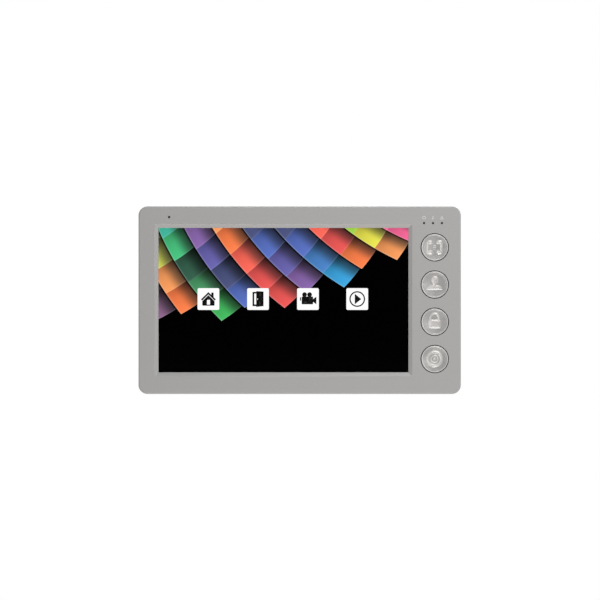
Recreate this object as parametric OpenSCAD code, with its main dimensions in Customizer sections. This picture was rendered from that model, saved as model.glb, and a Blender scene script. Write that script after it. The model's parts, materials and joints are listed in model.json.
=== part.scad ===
// Flush wall-hung video intercom monitor with a wide screen and four round push buttons.
// X runs to the right seen from the front, +Y points into the wall, Z is up.
// The origin is the middle of the wall bracket's back face, so the wall is the plane y = 0.
// Depths are counted from the wall towards the front, so a depth of d lies at y = -d.

/* [Body] */
// Width of the front bezel
body_w = 198.4; // [198:0.2:206]
// Height of the front bezel
body_h = 115.5; // [115:0.5:122]
// Depth from the wall to the front face
body_d = 22.5; // [22.5:0.5:26]
// Radius of the bezel's corners
corner_r = 5.6; // [5:0.1:7]
// Thickness of the bezel's front face and of its sides
bezel_wall = 2.2; // [1.8:0.1:2.6]
// Width of the small slope around the bezel's front edge
bezel_edge = 0.9; // [0.4:0.1:1.4]
// How far the rear cover stays inside the bezel's outline
cover_inset = 2.4; // [2.3:0.1:3]
// Thickness of the rear cover's walls
cover_wall = 2; // [1.6:0.1:2.2]

/* [Screen] */
// Width of the screen window
window_w = 154; // [140:1:156]
// Height of the screen window
window_h = 89; // [80:1:90]
// Sideways place of the window's middle
window_x = -10; // [-12:0.5:-8]
// Width of the slope around the window
window_bevel = 2.2; // [1:0.1:2.6]

/* [Buttons] */
// Radius of a button's face
button_r = 8.25; // [7:0.05:8.4]
// Gap between a button and its hole
button_gap = 0.45; // [0.3:0.05:0.6]
// Sideways place of the button column
button_x = 83.1; // [82.5:0.1:83.5]
// Height of the top button's middle
button_top_z = 32.5; // [31:0.5:34]
// Distance from one button to the next
button_pitch = 22.9; // [22.5:0.1:23]
// How far a button stands proud of the bezel
button_proud = 0.3; // [0:0.1:1]

/* [Wall bracket] */
// Width of the bracket plate
bracket_w = 96; // [96:1:98]
// Height of the bracket plate
bracket_h = 64; // [62:1:66]
// Thickness of the bracket's sheet
bracket_t = 1.2; // [1:0.1:1.3]
// Length of the raised part of a hook
hook_rise = 5; // [4:0.5:5]
// Distance between the two wall-box screw slots
box_screw_pitch = 60; // [58:1:62]

/* [Hidden] */
$fn = 48;

// Small clearance between parts that fit together, and the overlap that joins parts of one solid
fit = 0.05;
joined = 0.4;
far = 400;

// Bezel depths
seam_d = body_d - 9;
bezel_back_d = body_d - bezel_wall;
window_lip = 0.6;
hole_r = button_r + button_gap;

// Rear cover
cover_back_d = 0.4;
cover_floor_d = cover_back_d + cover_wall;
cover_front_d = seam_d + 1.5;
cover_w = body_w - 2 * cover_inset;
cover_h = body_h - 2 * cover_inset;
cover_r = corner_r - cover_inset;
cover_edge = 1.2;
cover_side_x = cover_w / 2;

// Pocket in the rear cover for the wall bracket
pocket_w = bracket_w + 4;
pocket_top_z = bracket_h / 2 + 2;
hook_lift = hook_rise + 0.5;
pocket_bottom_z = -bracket_h / 2 - hook_lift - 2;
screw_head_room = 2.6;
pocket_d = bracket_t + screw_head_room;
pocket_floor_d = pocket_d + cover_wall;
pocket_middle_z = (pocket_top_z + pocket_bottom_z) / 2;
pocket_h = pocket_top_z - pocket_bottom_z;

// Hooks: a neck standing out of the sheet and a raised prong behind the cover's pocket floor
hook_w = 8;
hook_x = 36;
hook_upper_z = 14;
hook_lower_z = -22;
hook_t = 1.2;
hook_window_h = 8;
prong_d = pocket_floor_d + 0.3;
hook_slot_w = hook_w + 1.2;

// Wiring opening in the bracket and connector opening in the cover
cable_z = -17.5;
cable_opening = [46, 18];
connector_opening = [42, 8];
bracket_corner_hole = [42, 26];
bracket_hole_r = 2.1;
box_slot_length = 8;
box_slot_r = 2.1;

// Screws: head radius, head height, shank radius
case_screw = [2.0, 1.6, 1.15];
board_screw = [2.0, 1.4, 1.1];
small_screw = [1.6, 1.0, 0.8];
recess_w = 0.45;

// Case screws and their pillars
case_top_z = cover_h / 2 - 4.75;
case_bottom_z = -cover_h / 2 + 3.35;
case_side_x = cover_side_x - 4.4;
case_places = [for (x = [-case_side_x, 0, case_side_x], z = [case_bottom_z, case_top_z]) [x, z]];
pillar_r = 3;
boss_r = 2.3;
case_seat_d = 6;
case_bore_r = case_screw[0] + 0.3;
case_tip_d = seam_d + 4.5;

// Screen module
module_w = 164;
module_h = 97;
module_z = -1.1;
module_wall = 1.2;
lcd_back_d = body_d - 6.1;
lcd_front_d = bezel_back_d - 0.4;
panel_front_d = lcd_front_d - 0.4;
panel_back_d = panel_front_d - 1.3;
diffuser_back_d = panel_back_d - 0.4;
guide_back_d = lcd_back_d + 0.4;
inner_w = module_w - 2 * module_wall;
inner_h = module_h - 2 * module_wall;
lip_w = window_w + 2;
lip_h = window_h + 1.8;
module_bottom_z = module_z - module_h / 2;
module_top_z = module_z + module_h / 2;
clip_x = [-62, 42];
clip_top_z = module_top_z + 2;
clip_bottom_z = module_bottom_z - 2;
clip_boss_r = 1.75;
clip_t = 0.6;
clip_w = 7;

// Key board and its switches
key_back_d = lcd_back_d - 3.6;
key_front_d = key_back_d + 1.6;
key_board_box = [74, 94, -48.5, 48.5];
key_screw_x = [76.4, 91];
key_screw_z = [button_top_z - button_pitch / 2, button_top_z - 2.5 * button_pitch];
key_boss_r = 2;
switch_w = 6;
switch_front_d = key_front_d + 3.3;
switch_cover_d = switch_front_d + 0.2;
plunger_front_d = switch_cover_d + 0.9;
plunger_r = 1.75;
switch_cavity_d = key_front_d + 1.3;

// Button caps
flange_r = hole_r + 0.8;
flange_back_d = bezel_back_d - 1.7;
flange_front_d = bezel_back_d - 0.4;
cap_inside_r = 6.9;
cap_inside_d = bezel_back_d + 0.6;
cap_front_d = body_d + button_proud;
cap_edge = 0.4;
stem_r = 1.6;

// Status lights and microphone
led_x = [76.5, 82, 87.5];
led_z = 47.4;
led_hole_r = 0.55;
mic_x = -80.3;
mic_z = 51.1;
mic_hole_r = 0.6;
boot_r = 3.1;
boot_back_d = lcd_back_d + 0.5;
capsule_r = 2;
capsule_front_d = bezel_back_d - 0.8;

// Main board
board_back_d = lcd_back_d - 3.7;
board_front_d = board_back_d + 1.6;
board_box = [-46, 66, -44, 30];
board_screw_x = [-42, 62];
board_screw_z = [-40, 26];
post_r = 3;
socket_pitch = 13.6;
socket_size = [12.4, 5.8];
socket_cavity = [10.6, 4.4];
socket_mouth_d = board_back_d - 5.8;
pin_pitch = 2.5;

// Speaker
speaker_x = -71.5;
speaker_z = -20;
speaker_r = 18;
speaker_screw_reach = 14.5;
speaker_flange_back_d = cover_floor_d + 0.6;
speaker_flange_front_d = speaker_flange_back_d + 0.8;
speaker_back_d = 12.5;
speaker_magnet_t = 4;
magnet_r = 9;
grille_hole_r = 1;
grille_step = 4.2;

// Side controls
jog_x = 88;
jog_z = -2;
jog_housing_box = [84, 94, -6.5, 2.5];
jog_back_d = key_back_d - 4.4;
jog_lever_d = [key_back_d - 3.3, key_back_d - 1.9];
jog_tip_x = body_w / 2 - 0.8;
power_z = -37;
power_travel = 2;
power_box = [89, 94, -40.5, -31.5];
power_back_d = key_back_d - 4;
card_z = 30;
card_box = [79, 94, 23, 37];
card_back_d = key_back_d - 2;

// Leads, as points [x, y, z] by hand along each wire's middle
lead_r = 0.45;
speaker_lead_points = [
    [-60.5, -7.6, -12], [-57, -8.8, -9], [-51.5, -10.4, -2], [-47.5, -10.7, 1.8], [-45, -10.7, 2.5]
];
mic_lead_points = [
    [-80.3, -17.6, 51.1], [-80, -15, 50.2], [-77, -12.5, 47], [-70, -11, 38],
    [-58, -10.7, 25], [-50, -10.7, 16], [-45, -10.7, 14]
];

// ---- Shared shapes ----

// Extrudes an outline drawn in X and Z from depth a to depth b.
module layer(a, b) {
    translate([0, -a, 0]) rotate([90, 0, 0]) linear_extrude(b - a) children();
}

// A straight block about the point (x, z) from depth a to depth b.
module block(x, z, w, h, a, b) {
    layer(a, b) translate([x, z]) square([w, h], center = true);
}

// A straight block inside the box [left, right, bottom, top].
module plate(box, a, b) {
    layer(a, b) translate([box[0], box[2]]) square([box[1] - box[0], box[3] - box[2]]);
}

// A round post or hole from depth a to depth b.
module disc(x, z, r, a, b) {
    translate([x, -a, z]) rotate([90, 0, 0]) cylinder(r = r, h = b - a);
}

// Turns an outline of radius and depth around the line through (x, z).
module turned(x, z, points) {
    translate([x, 0, z]) rotate([90, 0, 0]) rotate_extrude() polygon(points);
}

module rounded_rect(w, h, r) {
    square([w - 2 * r, h], center = true);
    square([w, h - 2 * r], center = true);
    for (sx = [-1, 1], sz = [-1, 1])
        translate([sx * (w / 2 - r), sz * (h / 2 - r)]) circle(r);
}

// A block with sloping sides, w1 by h1 at depth a and w2 by h2 at depth b.
module tapered(x, z, w1, h1, w2, h2, a, b) {
    translate([x, -a, z]) intersection() {
        translate([0, 0, -far / 2]) linear_extrude(far)
            polygon([[-w1 / 2, 0], [w1 / 2, 0], [w2 / 2, a - b], [-w2 / 2, a - b]]);
        rotate([90, 0, 90]) translate([0, 0, -far / 2]) linear_extrude(far)
            polygon([[0, -h1 / 2], [0, h1 / 2], [a - b, h2 / 2], [a - b, -h2 / 2]]);
    }
}

// A cross-head screw: its seat, tip and head's outer face are depths, and size is
// [head radius, head height, shank radius].
module screw(x, z, seat, tip, size) {
    way = tip > seat ? -1 : 1;
    outer = seat + way * size[1];
    slot = outer - way * size[1] * 0.6;
    difference() {
        union() {
            disc(x, z, size[0], min(seat, outer), max(seat, outer));
            disc(x, z, size[2], min(tip, seat + way * 0.1), max(tip, seat + way * 0.1));
        }
        for (turn = [[size[0] * 1.2, recess_w], [recess_w, size[0] * 1.2]])
            block(x, z, turn[0], turn[1], min(slot, outer + way), max(slot, outer + way));
    }
}

// A point on the smooth curve through four neighbours, at t from 0 to 1 between b and c.
function curve_point(a, b, c, d, t) =
    0.5 * (2 * b + (c - a) * t + (2 * a - 5 * b + 4 * c - d) * pow(t, 2)
        + (3 * b - a - 3 * c + d) * pow(t, 3));

function smooth_path(points, steps) = [
    for (i = [0:len(points) - 2], s = [0:steps - 1])
        curve_point(points[max(i - 1, 0)], points[i], points[i + 1],
            points[min(i + 2, len(points) - 1)], s / steps),
    points[len(points) - 1]
];

function unit(v) = v / norm(v);

// A round wire of radius r swept along the points.
module wire(points, r) {
    path = smooth_path(points, 3);
    sides = 8;
    last = len(path) - 1;
    rings = [
        for (i = [0:last])
            let (
                along = unit(path[min(i + 1, last)] - path[max(i - 1, 0)]),
                side = unit(cross(along, [0, 0.2, 1])),
                up = cross(side, along)
            )
            for (k = [0:sides - 1])
                path[i] + r * (cos(k * 360 / sides) * side + sin(k * 360 / sides) * up)
    ];
    walls = [
        for (i = [0:last - 1], k = [0:sides - 1])
            let (n = (k + 1) % sides)
            for (f = [
                [i * sides + k, i * sides + n, (i + 1) * sides + n],
                [i * sides + k, (i + 1) * sides + n, (i + 1) * sides + k]
            ]) f
    ];
    first_end = [for (k = [0:sides - 1]) sides - 1 - k];
    last_end = [for (k = [0:sides - 1]) last * sides + k];
    polyhedron(rings, concat([first_end], walls, [last_end]));
}

function button_z(i) = button_top_z - i * button_pitch;

// ---- Wall bracket ----

module hook(x, z) {
    block(x, z + hook_t / 2, hook_w, hook_t, bracket_t - joined, prong_d + hook_t);
    block(x, z + (hook_t + hook_rise) / 2, hook_w, hook_t + hook_rise, prong_d, prong_d + hook_t);
}

module wall_bracket() {
    color("silver") {
        difference() {
            layer(0, bracket_t) rounded_rect(bracket_w, bracket_h, 3);
            block(0, cable_z, cable_opening[0], cable_opening[1], -1, bracket_t + 1);
            for (sx = [-1, 1]) {
                layer(-1, bracket_t + 1) translate([sx * box_screw_pitch / 2, 0]) {
                    square([box_slot_length - 2 * box_slot_r, 2 * box_slot_r], center = true);
                    for (end = [-1, 1])
                        translate([end * (box_slot_length / 2 - box_slot_r), 0]) circle(box_slot_r);
                }
                for (sz = [-1, 1])
                    disc(sx * bracket_corner_hole[0], sz * bracket_corner_hole[1],
                        bracket_hole_r, -1, bracket_t + 1);
                for (z = [hook_upper_z, hook_lower_z])
                    block(sx * hook_x, z + hook_t + hook_window_h / 2, hook_w + 0.6,
                        hook_window_h, -1, bracket_t + 1);
            }
        }
        for (sx = [-1, 1], z = [hook_upper_z, hook_lower_z])
            hook(sx * hook_x, z);
    }
}

// ---- Rear cover ----

module cover_shell() {
    difference() {
        intersection() {
            layer(cover_back_d, cover_front_d) rounded_rect(cover_w, cover_h, cover_r);
            union() {
                tapered(0, 0, cover_w - 2 * cover_edge, cover_h - 2 * cover_edge,
                    cover_w, cover_h, cover_back_d, cover_back_d + cover_edge);
                block(0, 0, cover_w, cover_h, cover_back_d + cover_edge, cover_front_d);
            }
        }
        layer(cover_floor_d, cover_front_d + 1)
            rounded_rect(cover_w - 2 * cover_wall, cover_h - 2 * cover_wall, cover_r - cover_wall / 2);
    }
}

module cover_additions() {
    block(0, pocket_middle_z, pocket_w + 2 * cover_wall, pocket_h + 2 * cover_wall,
        cover_back_d, pocket_floor_d);
    for (p = case_places)
        intersection() {
            disc(p[0], p[1], pillar_r, cover_floor_d - joined, seam_d);
            layer(cover_back_d, seam_d)
                rounded_rect(cover_w - 1, cover_h - 1, cover_r - 0.5);
        }
    for (x = board_screw_x, z = board_screw_z)
        disc(x, z, post_r, cover_floor_d - joined, board_back_d);
    for (sx = [-1, 1], sz = [-1, 1])
        disc(speaker_x + sx * speaker_screw_reach, speaker_z + sz * speaker_screw_reach,
            2.3, cover_floor_d - joined, speaker_flange_front_d);
}

module speaker_grille() {
    disc(speaker_x, speaker_z, grille_hole_r, cover_back_d - 1, cover_floor_d + 1);
    for (ring = [1:3], i = [0:ring * 6 - 1]) {
        turn = i * 360 / (ring * 6);
        disc(speaker_x + ring * grille_step * cos(turn), speaker_z + ring * grille_step * sin(turn),
            grille_hole_r, cover_back_d - 1, cover_floor_d + 1);
    }
}

module vent_slots() {
    for (i = [-3:3], row = [0:1])
        block(i * 18, 41.5 + row * 4, 12, 1.6, cover_back_d - 1, cover_floor_d + 1);
}

// Windows through the cover's right side for the jog lever, the power knob and the card.
module side_windows() {
    through = cover_wall * 4;
    block(cover_side_x, jog_z, through, 7.4, jog_lever_d[0] - 0.8, jog_lever_d[1] + 0.8);
    block(cover_side_x, power_z + power_travel / 2, through, 5.5, key_back_d - 3.2, key_back_d - 0.8);
    block(cover_side_x, card_z, through, 12, card_back_d + 0.2, key_back_d - 0.2);
}

module rear_cover() {
    color("dimgray") difference() {
        union() {
            cover_shell();
            cover_additions();
        }
        block(0, pocket_middle_z, pocket_w, pocket_h, -1, pocket_d);
        block(0, cable_z, connector_opening[0], connector_opening[1], 0, pocket_floor_d + 1);
        for (sx = [-1, 1], z = [hook_upper_z, hook_lower_z])
            block(sx * hook_x, z + (hook_t + 0.1 - hook_lift - 0.3) / 2, hook_slot_w,
                hook_t + hook_lift + 0.4, 0, pocket_floor_d + 1);
        for (p = case_places) {
            disc(p[0], p[1], case_bore_r, -1, case_seat_d);
            disc(p[0], p[1], case_screw[2] + 0.15, -1, seam_d + 1);
            disc(p[0], p[1], boss_r + 0.3, seam_d, cover_front_d + 1);
        }
        for (x = board_screw_x, z = board_screw_z)
            disc(x, z, board_screw[2] + fit, board_back_d - 6, board_back_d + 1);
        for (sx = [-1, 1], sz = [-1, 1])
            disc(speaker_x + sx * speaker_screw_reach, speaker_z + sz * speaker_screw_reach,
                small_screw[2] + fit, cover_back_d + 0.8, speaker_flange_front_d + 1);
        speaker_grille();
        vent_slots();
        side_windows();
    }
}

module rear_label() {
    color("whitesmoke") block(74, 4, 34, 20, cover_back_d - 0.2, cover_back_d);
}

module wall_pads() {
    color("black") for (sx = [-1, 1], z = [-44, 34])
        disc(sx * 84, z, 4, cover_back_d - 0.3, cover_back_d);
}

module case_screws() {
    color("gray") for (p = case_places)
        screw(p[0], p[1], case_seat_d, case_tip_d, case_screw);
}

// ---- Front bezel ----

module bezel_shell() {
    difference() {
        intersection() {
            layer(seam_d, body_d) rounded_rect(body_w, body_h, corner_r);
            union() {
                block(0, 0, body_w, body_h, seam_d, body_d - bezel_edge);
                tapered(0, 0, body_w, body_h, body_w - 2 * bezel_edge, body_h - 2 * bezel_edge,
                    body_d - bezel_edge, body_d);
            }
        }
        layer(seam_d - 1, bezel_back_d)
            rounded_rect(body_w - 2 * bezel_wall, body_h - 2 * bezel_wall, corner_r - bezel_wall);
    }
}

module front_bezel() {
    lip_d = bezel_back_d + window_lip;
    slope = window_bevel / (body_d - lip_d);
    color("silver") difference() {
        union() {
            bezel_shell();
            for (p = case_places)
                disc(p[0], p[1], boss_r, seam_d, bezel_back_d + joined);
            for (x = clip_x, z = [clip_bottom_z, clip_top_z])
                disc(x, z, clip_boss_r, lcd_back_d, bezel_back_d + joined);
            for (x = key_screw_x, z = key_screw_z)
                disc(x, z, key_boss_r, key_front_d, bezel_back_d + joined);
        }
        block(window_x, 0, window_w, window_h, bezel_back_d - 1, body_d + 1);
        tapered(window_x, 0, window_w, window_h, window_w + 2 * window_bevel + 2 * slope,
            window_h + 2 * window_bevel + 2 * slope, lip_d, body_d + 1);
        for (i = [0:3])
            disc(button_x, button_z(i), hole_r, bezel_back_d - 1, body_d + 1);
        for (x = led_x)
            disc(x, led_z, led_hole_r, bezel_back_d - 1, body_d + 1);
        disc(mic_x, mic_z, mic_hole_r, bezel_back_d - 1, body_d + 1);
        for (p = case_places)
            disc(p[0], p[1], case_screw[2] + fit, seam_d - 1, case_tip_d + 0.5);
        for (x = clip_x, z = [clip_bottom_z, clip_top_z])
            disc(x, z, small_screw[2] + fit, lcd_back_d - 1, bezel_back_d - 0.6);
        for (x = key_screw_x, z = key_screw_z)
            disc(x, z, small_screw[2] + fit, key_front_d - 1, key_front_d + 4);
    }
}

// ---- Screen module ----

module lcd_frame() {
    color("gray") difference() {
        block(window_x, module_z, module_w, module_h, lcd_back_d, lcd_front_d);
        block(window_x, module_z, inner_w, inner_h, lcd_back_d - 1, panel_front_d);
        block(window_x, 0, lip_w, lip_h, lcd_back_d - 1, lcd_front_d + 1);
    }
}

module lcd_panel() {
    color("black") block(window_x, module_z, inner_w - 0.3, inner_h - 0.3, panel_back_d, panel_front_d);
}

module lcd_diffuser() {
    color("white")
        block(window_x, module_z, inner_w - 0.6, inner_h - 0.6, diffuser_back_d, panel_back_d);
}

module lcd_light_guide() {
    color("azure") block(window_x, module_z + 1.2, inner_w - 1.4, inner_h - 3.4,
        guide_back_d, diffuser_back_d);
}

module lcd_back_plate() {
    color("silver") block(window_x, module_z, inner_w - 0.2, inner_h - 0.2, lcd_back_d, guide_back_d);
}

// Thin strip below the light guide that carries a row of lamps shining up into it.
module lcd_led_bar() {
    strip_z = module_bottom_z + module_wall + 0.5;
    color("gold") {
        block(window_x, strip_z, inner_w - 4, 0.8, guide_back_d, diffuser_back_d);
        for (i = [0:11])
            block(window_x + (i - 5.5) * 12.8, strip_z + 0.7, 3, 0.8, guide_back_d, diffuser_back_d);
    }
}

// A flat tail stuck to the module's back that steps down to its connector on the main board.
module lcd_flex() {
    thick = 0.2;
    entry_d = board_front_d + 0.6;
    top = lcd_back_d;
    color("goldenrod") translate([window_x - 14, 0, 0]) rotate([90, 0, 90]) linear_extrude(28)
        polygon([
            [-top, -16], [-top, -25], [-top + thick, -25.4], [-entry_d - thick, -31.8],
            [-entry_d, -31.8], [-top + 2 * thick, -25.2], [-top + thick, -25], [-top + thick, -16]
        ]);
}

module lcd_gasket() {
    color("black") difference() {
        block(window_x, 0, lip_w + 5, lip_h + 3.6, lcd_front_d, bezel_back_d);
        block(window_x, 0, lip_w - 0.4, lip_h - 0.4, lcd_front_d - 1, bezel_back_d + 1);
    }
}

module lcd_clips() {
    color("silver") for (x = clip_x, side = [-1, 1]) {
        z = side > 0 ? clip_top_z : clip_bottom_z;
        difference() {
            block(x, z - side * 2, clip_w, 7, lcd_back_d - clip_t, lcd_back_d);
            disc(x, z, small_screw[2] + 0.15, lcd_back_d - clip_t - 1, lcd_back_d + 1);
        }
    }
}

module lcd_clip_screws() {
    color("gray") for (x = clip_x, z = [clip_bottom_z, clip_top_z])
        screw(x, z, lcd_back_d - clip_t, bezel_back_d - 0.8, small_screw);
}

// ---- Buttons and key board ----

module button_cap(i) {
    color("gainsboro") turned(button_x, button_z(i), [
        [0, plunger_front_d + 0.1], [stem_r, plunger_front_d + 0.1], [stem_r, cap_inside_d],
        [cap_inside_r, cap_inside_d], [cap_inside_r, flange_back_d], [flange_r, flange_back_d],
        [flange_r, flange_front_d], [button_r, flange_front_d], [button_r, cap_front_d - cap_edge],
        [button_r - cap_edge, cap_front_d], [0, cap_front_d]
    ]);
}

module answer_button() button_cap(0);
module intercom_button() button_cap(1);
module unlock_button() button_cap(2);
module monitor_button() button_cap(3);

module plunger(i) {
    flange_d = switch_cavity_d + 0.7;
    color("black") turned(button_x, button_z(i), [
        [0, flange_d], [plunger_r + 0.2, flange_d], [plunger_r + 0.2, flange_d + 0.7],
        [plunger_r, flange_d + 0.7], [plunger_r, plunger_front_d], [0, plunger_front_d]
    ]);
}

module answer_plunger() plunger(0);
module intercom_plunger() plunger(1);
module unlock_plunger() plunger(2);
module monitor_plunger() plunger(3);

module switch_bases() {
    color("black") for (i = [0:3]) difference() {
        block(button_x, button_z(i), switch_w, switch_w, key_front_d, switch_front_d);
        disc(button_x, button_z(i), plunger_r + 0.4, switch_cavity_d, switch_front_d + 1);
    }
}

module switch_covers() {
    color("silver") for (i = [0:3]) difference() {
        block(button_x, button_z(i), switch_w, switch_w, switch_front_d, switch_cover_d);
        disc(button_x, button_z(i), plunger_r + 0.1, switch_front_d - 1, switch_cover_d + 1);
    }
}

module switch_domes() {
    color("silver") for (i = [0:3])
        disc(button_x, button_z(i), plunger_r + 0.25, switch_cavity_d, switch_cavity_d + 0.15);
}

module key_board() {
    color("darkgreen") difference() {
        plate(key_board_box, key_back_d, key_front_d);
        for (x = key_screw_x, z = key_screw_z)
            disc(x, z, small_screw[2] + 0.2, key_back_d - 1, key_front_d + 1);
        for (z = [case_bottom_z, case_top_z])
            disc(case_side_x, z, pillar_r + 0.3, key_back_d - 1, key_front_d + 1);
    }
}

module key_board_screws() {
    color("gray") for (x = key_screw_x, z = key_screw_z)
        screw(x, z, key_back_d, key_front_d + 3.6, small_screw);
}

module status_leds() {
    color("white") for (x = led_x)
        block(x, led_z, 1.6, 1.2, key_front_d, key_front_d + 0.8);
}

module light_pipe() {
    color("darkslategray") {
        block(led_x[1], led_z, 14, 3.2, key_front_d + 1.2, bezel_back_d);
        for (x = led_x)
            disc(x, led_z, led_hole_r - fit, bezel_back_d - joined, body_d - 0.2);
    }
}

// ---- Microphone ----

module mic_boot() {
    color("black") turned(mic_x, mic_z, [
        [capsule_r + fit, boot_back_d], [boot_r, boot_back_d], [boot_r, bezel_back_d],
        [mic_hole_r, bezel_back_d], [mic_hole_r, capsule_front_d], [capsule_r + fit, capsule_front_d]
    ]);
}

module mic_capsule() {
    color("silver") disc(mic_x, mic_z, capsule_r, capsule_front_d - 1.8, capsule_front_d);
}

module mic_leads() {
    color("firebrick") for (side = [-1, 1])
        wire([for (p = mic_lead_points) p + [side * 0.6, 0, side * 0.6]], lead_r);
}

// ---- Main board ----

module main_board() {
    color("darkgreen") difference() {
        plate(board_box, board_back_d, board_front_d);
        for (x = board_screw_x, z = board_screw_z)
            disc(x, z, board_screw[2] + 0.15, board_back_d - 1, board_front_d + 1);
    }
}

module board_screws() {
    color("gray") for (x = board_screw_x, z = board_screw_z)
        screw(x, z, board_front_d, board_back_d - 5.5, board_screw);
}

// Chips as [x, z, width, height, thickness], first on the front side and then on the rear side.
module board_chips() {
    front = [[12, -8, 14, 14, 1.2], [-10, -6, 8, 10, 1], [32, -10, 8, 6, 0.9], [-30, 8, 7, 7, 1]];
    rear = [[54, 18, 6, 5, 1.5], [-36, -28, 5, 4, 1.2], [54, -20, 5, 6, 1.2]];
    color("black") {
        for (c = front)
            block(c[0], c[1], c[2], c[3], board_front_d, board_front_d + c[4]);
        for (c = rear)
            block(c[0], c[1], c[2], c[3], board_back_d - c[4], board_back_d);
        block(80, -10, 7, 7, key_back_d - 1, key_back_d);
    }
}

module capacitors() {
    color("lightsteelblue") for (p = [[-22, 22], [-22, 13], [-22, 4], [54, 4]]) {
        block(p[0], p[1], 6.6, 6.6, board_back_d - 0.8, board_back_d);
        disc(p[0], p[1], 3.15, board_back_d - 5.4, board_back_d - 0.6);
    }
}

module power_inductors() {
    color("dimgray") for (x = [-9, 1]) difference() {
        block(x, 21, 7, 7, board_back_d - 3.8, board_back_d);
        disc(x, 21, 2.2, board_back_d - 5, board_back_d - 3.3);
    }
}

module header(x, z, w, h, a, b, mouth) {
    difference() {
        block(x, z, w, h, a, b);
        block(x + mouth[0], z + mouth[1], w - 1, h - 1, a + 0.6, b - 0.6);
    }
}

module board_headers() {
    ribbon_z = button_z(1);
    color("ivory") {
        header(window_x, -34, 30, 4.5, board_front_d, board_front_d + 1.4, [0, 1]);
        header(62.5, ribbon_z, 4, 13, board_front_d, board_front_d + 1.4, [1, 0]);
        header(76.2, ribbon_z, 3, 13, key_front_d, key_front_d + 1.4, [-1, 0]);
        header(-42.7, 2.5, 5, 6, board_back_d - 4, board_back_d, [-1, 0]);
        header(-42.7, 14, 5, 6, board_back_d - 4, board_back_d, [-1, 0]);
    }
}

module wire_sockets() {
    color("ivory") for (i = [-1:1]) difference() {
        block(i * socket_pitch, cable_z, socket_size[0], socket_size[1], socket_mouth_d, board_back_d);
        block(i * socket_pitch, cable_z, socket_cavity[0], socket_cavity[1],
            socket_mouth_d - 1, board_back_d - 1);
    }
}

module socket_pins() {
    color("gold") for (i = [-1:1], k = [0:3])
        block(i * socket_pitch + (k - 1.5) * pin_pitch, cable_z, 0.64, 0.64,
            socket_mouth_d + 0.8, board_back_d - 1);
}

module battery_holder() {
    color("black") difference() {
        block(18, 12, 16, 15, board_back_d - 2.8, board_back_d);
        disc(18, 12, 6.3, board_back_d - 4, board_back_d - 0.6);
    }
}

module clock_battery() {
    color("silver") disc(18, 12, 6.25, board_back_d - 2.6, board_back_d - 0.6);
}

// A flat ribbon in a shallow arch from the main board's header to the key board's.
module key_ribbon() {
    thick = 0.2;
    start = board_front_d + 0.6;
    end = key_front_d + 0.6;
    crest = max(start, end) + 0.5;
    color("white") translate([0, 0, button_z(1) - 5]) linear_extrude(10) polygon([
        [64.6, -start], [66, -start], [69.3, -crest], [73, -crest], [74.6, -end], [74.6, -end - thick],
        [73.2, -crest - thick], [69.1, -crest - thick], [65.8, -start - thick], [64.6, -start - thick]
    ]);
}

// ---- Speaker ----

module speaker_frame() {
    basket_back_d = speaker_back_d - speaker_magnet_t;
    color("dimgray") {
        turned(speaker_x, speaker_z, [
            [15.5, speaker_flange_back_d], [speaker_r, speaker_flange_back_d],
            [speaker_r, speaker_flange_front_d], [16.3, speaker_flange_front_d],
            [magnet_r + 2, basket_back_d], [4, basket_back_d], [4, basket_back_d - 0.8],
            [magnet_r + 1.5, basket_back_d - 0.8], [15.5, speaker_flange_back_d + 0.5]
        ]);
    }
}

module speaker_magnet() {
    color("silver") disc(speaker_x, speaker_z, magnet_r, speaker_back_d - speaker_magnet_t, speaker_back_d);
}

module speaker_cone() {
    color("black") turned(speaker_x, speaker_z, [
        [15.4, speaker_flange_back_d], [15.4, speaker_flange_back_d + 0.2],
        [13.4, speaker_flange_back_d + 0.3], [5.5, speaker_flange_back_d + 2.4],
        [0, speaker_flange_back_d + 1.6], [0, speaker_flange_back_d + 1.3],
        [5.5, speaker_flange_back_d + 2], [13.4, speaker_flange_back_d]
    ]);
}

module speaker_gasket() {
    color("black") difference() {
        disc(speaker_x, speaker_z, speaker_r, cover_floor_d, speaker_flange_back_d);
        disc(speaker_x, speaker_z, 15.5, cover_floor_d - 1, speaker_flange_back_d + 1);
    }
}

module speaker_screws() {
    wide_screw = [3, 1, 0.8];
    color("gray") for (sx = [-1, 1], sz = [-1, 1])
        screw(speaker_x + sx * speaker_screw_reach, speaker_z + sz * speaker_screw_reach,
            speaker_flange_front_d, cover_back_d + 1, wide_screw);
}

module speaker_leads() {
    color("firebrick") for (side = [-1, 1])
        wire([for (p = speaker_lead_points) p + [0, 0, side * 1.25]], lead_r);
}

// ---- Side controls ----

module jog_housing() {
    color("black") difference() {
        plate(jog_housing_box, jog_back_d, key_back_d);
        plate([84.8, 95, -5.7, 1.7], jog_back_d + 0.8, key_back_d - 0.7);
    }
}

// Carriage that slides in the housing and carries the lever's pin.
module jog_slider() {
    color("white") {
        block(jog_x, jog_z, 4.4, 6.4, jog_lever_d[1] + 0.2, key_back_d - 0.9);
        disc(jog_x, jog_z, 0.8, jog_lever_d[0], jog_lever_d[1] + 0.4);
    }
}

module jog_lever() {
    color("gray") difference() {
        union() {
            disc(jog_x, jog_z, 2, jog_lever_d[0], jog_lever_d[1]);
            plate([jog_x, jog_tip_x, jog_z - 1.3, jog_z + 1.3], jog_lever_d[0], jog_lever_d[1]);
        }
        disc(jog_x, jog_z, 0.85, jog_lever_d[0] - 1, jog_lever_d[1] + 1);
    }
}

module power_switch_body() {
    color("black") difference() {
        plate(power_box, power_back_d, key_back_d);
        plate([90, 95, -39.7, -32.3], key_back_d - 3.3, key_back_d - 0.7);
    }
}

module power_switch_knob() {
    color("gray") {
        block(92, power_z, 2.8, 4, key_back_d - 3.1, key_back_d - 0.9);
        plate([93, jog_tip_x - 0.4, power_z - 1.25, power_z + 1.25], key_back_d - 2.9, key_back_d - 1.1);
    }
}

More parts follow.
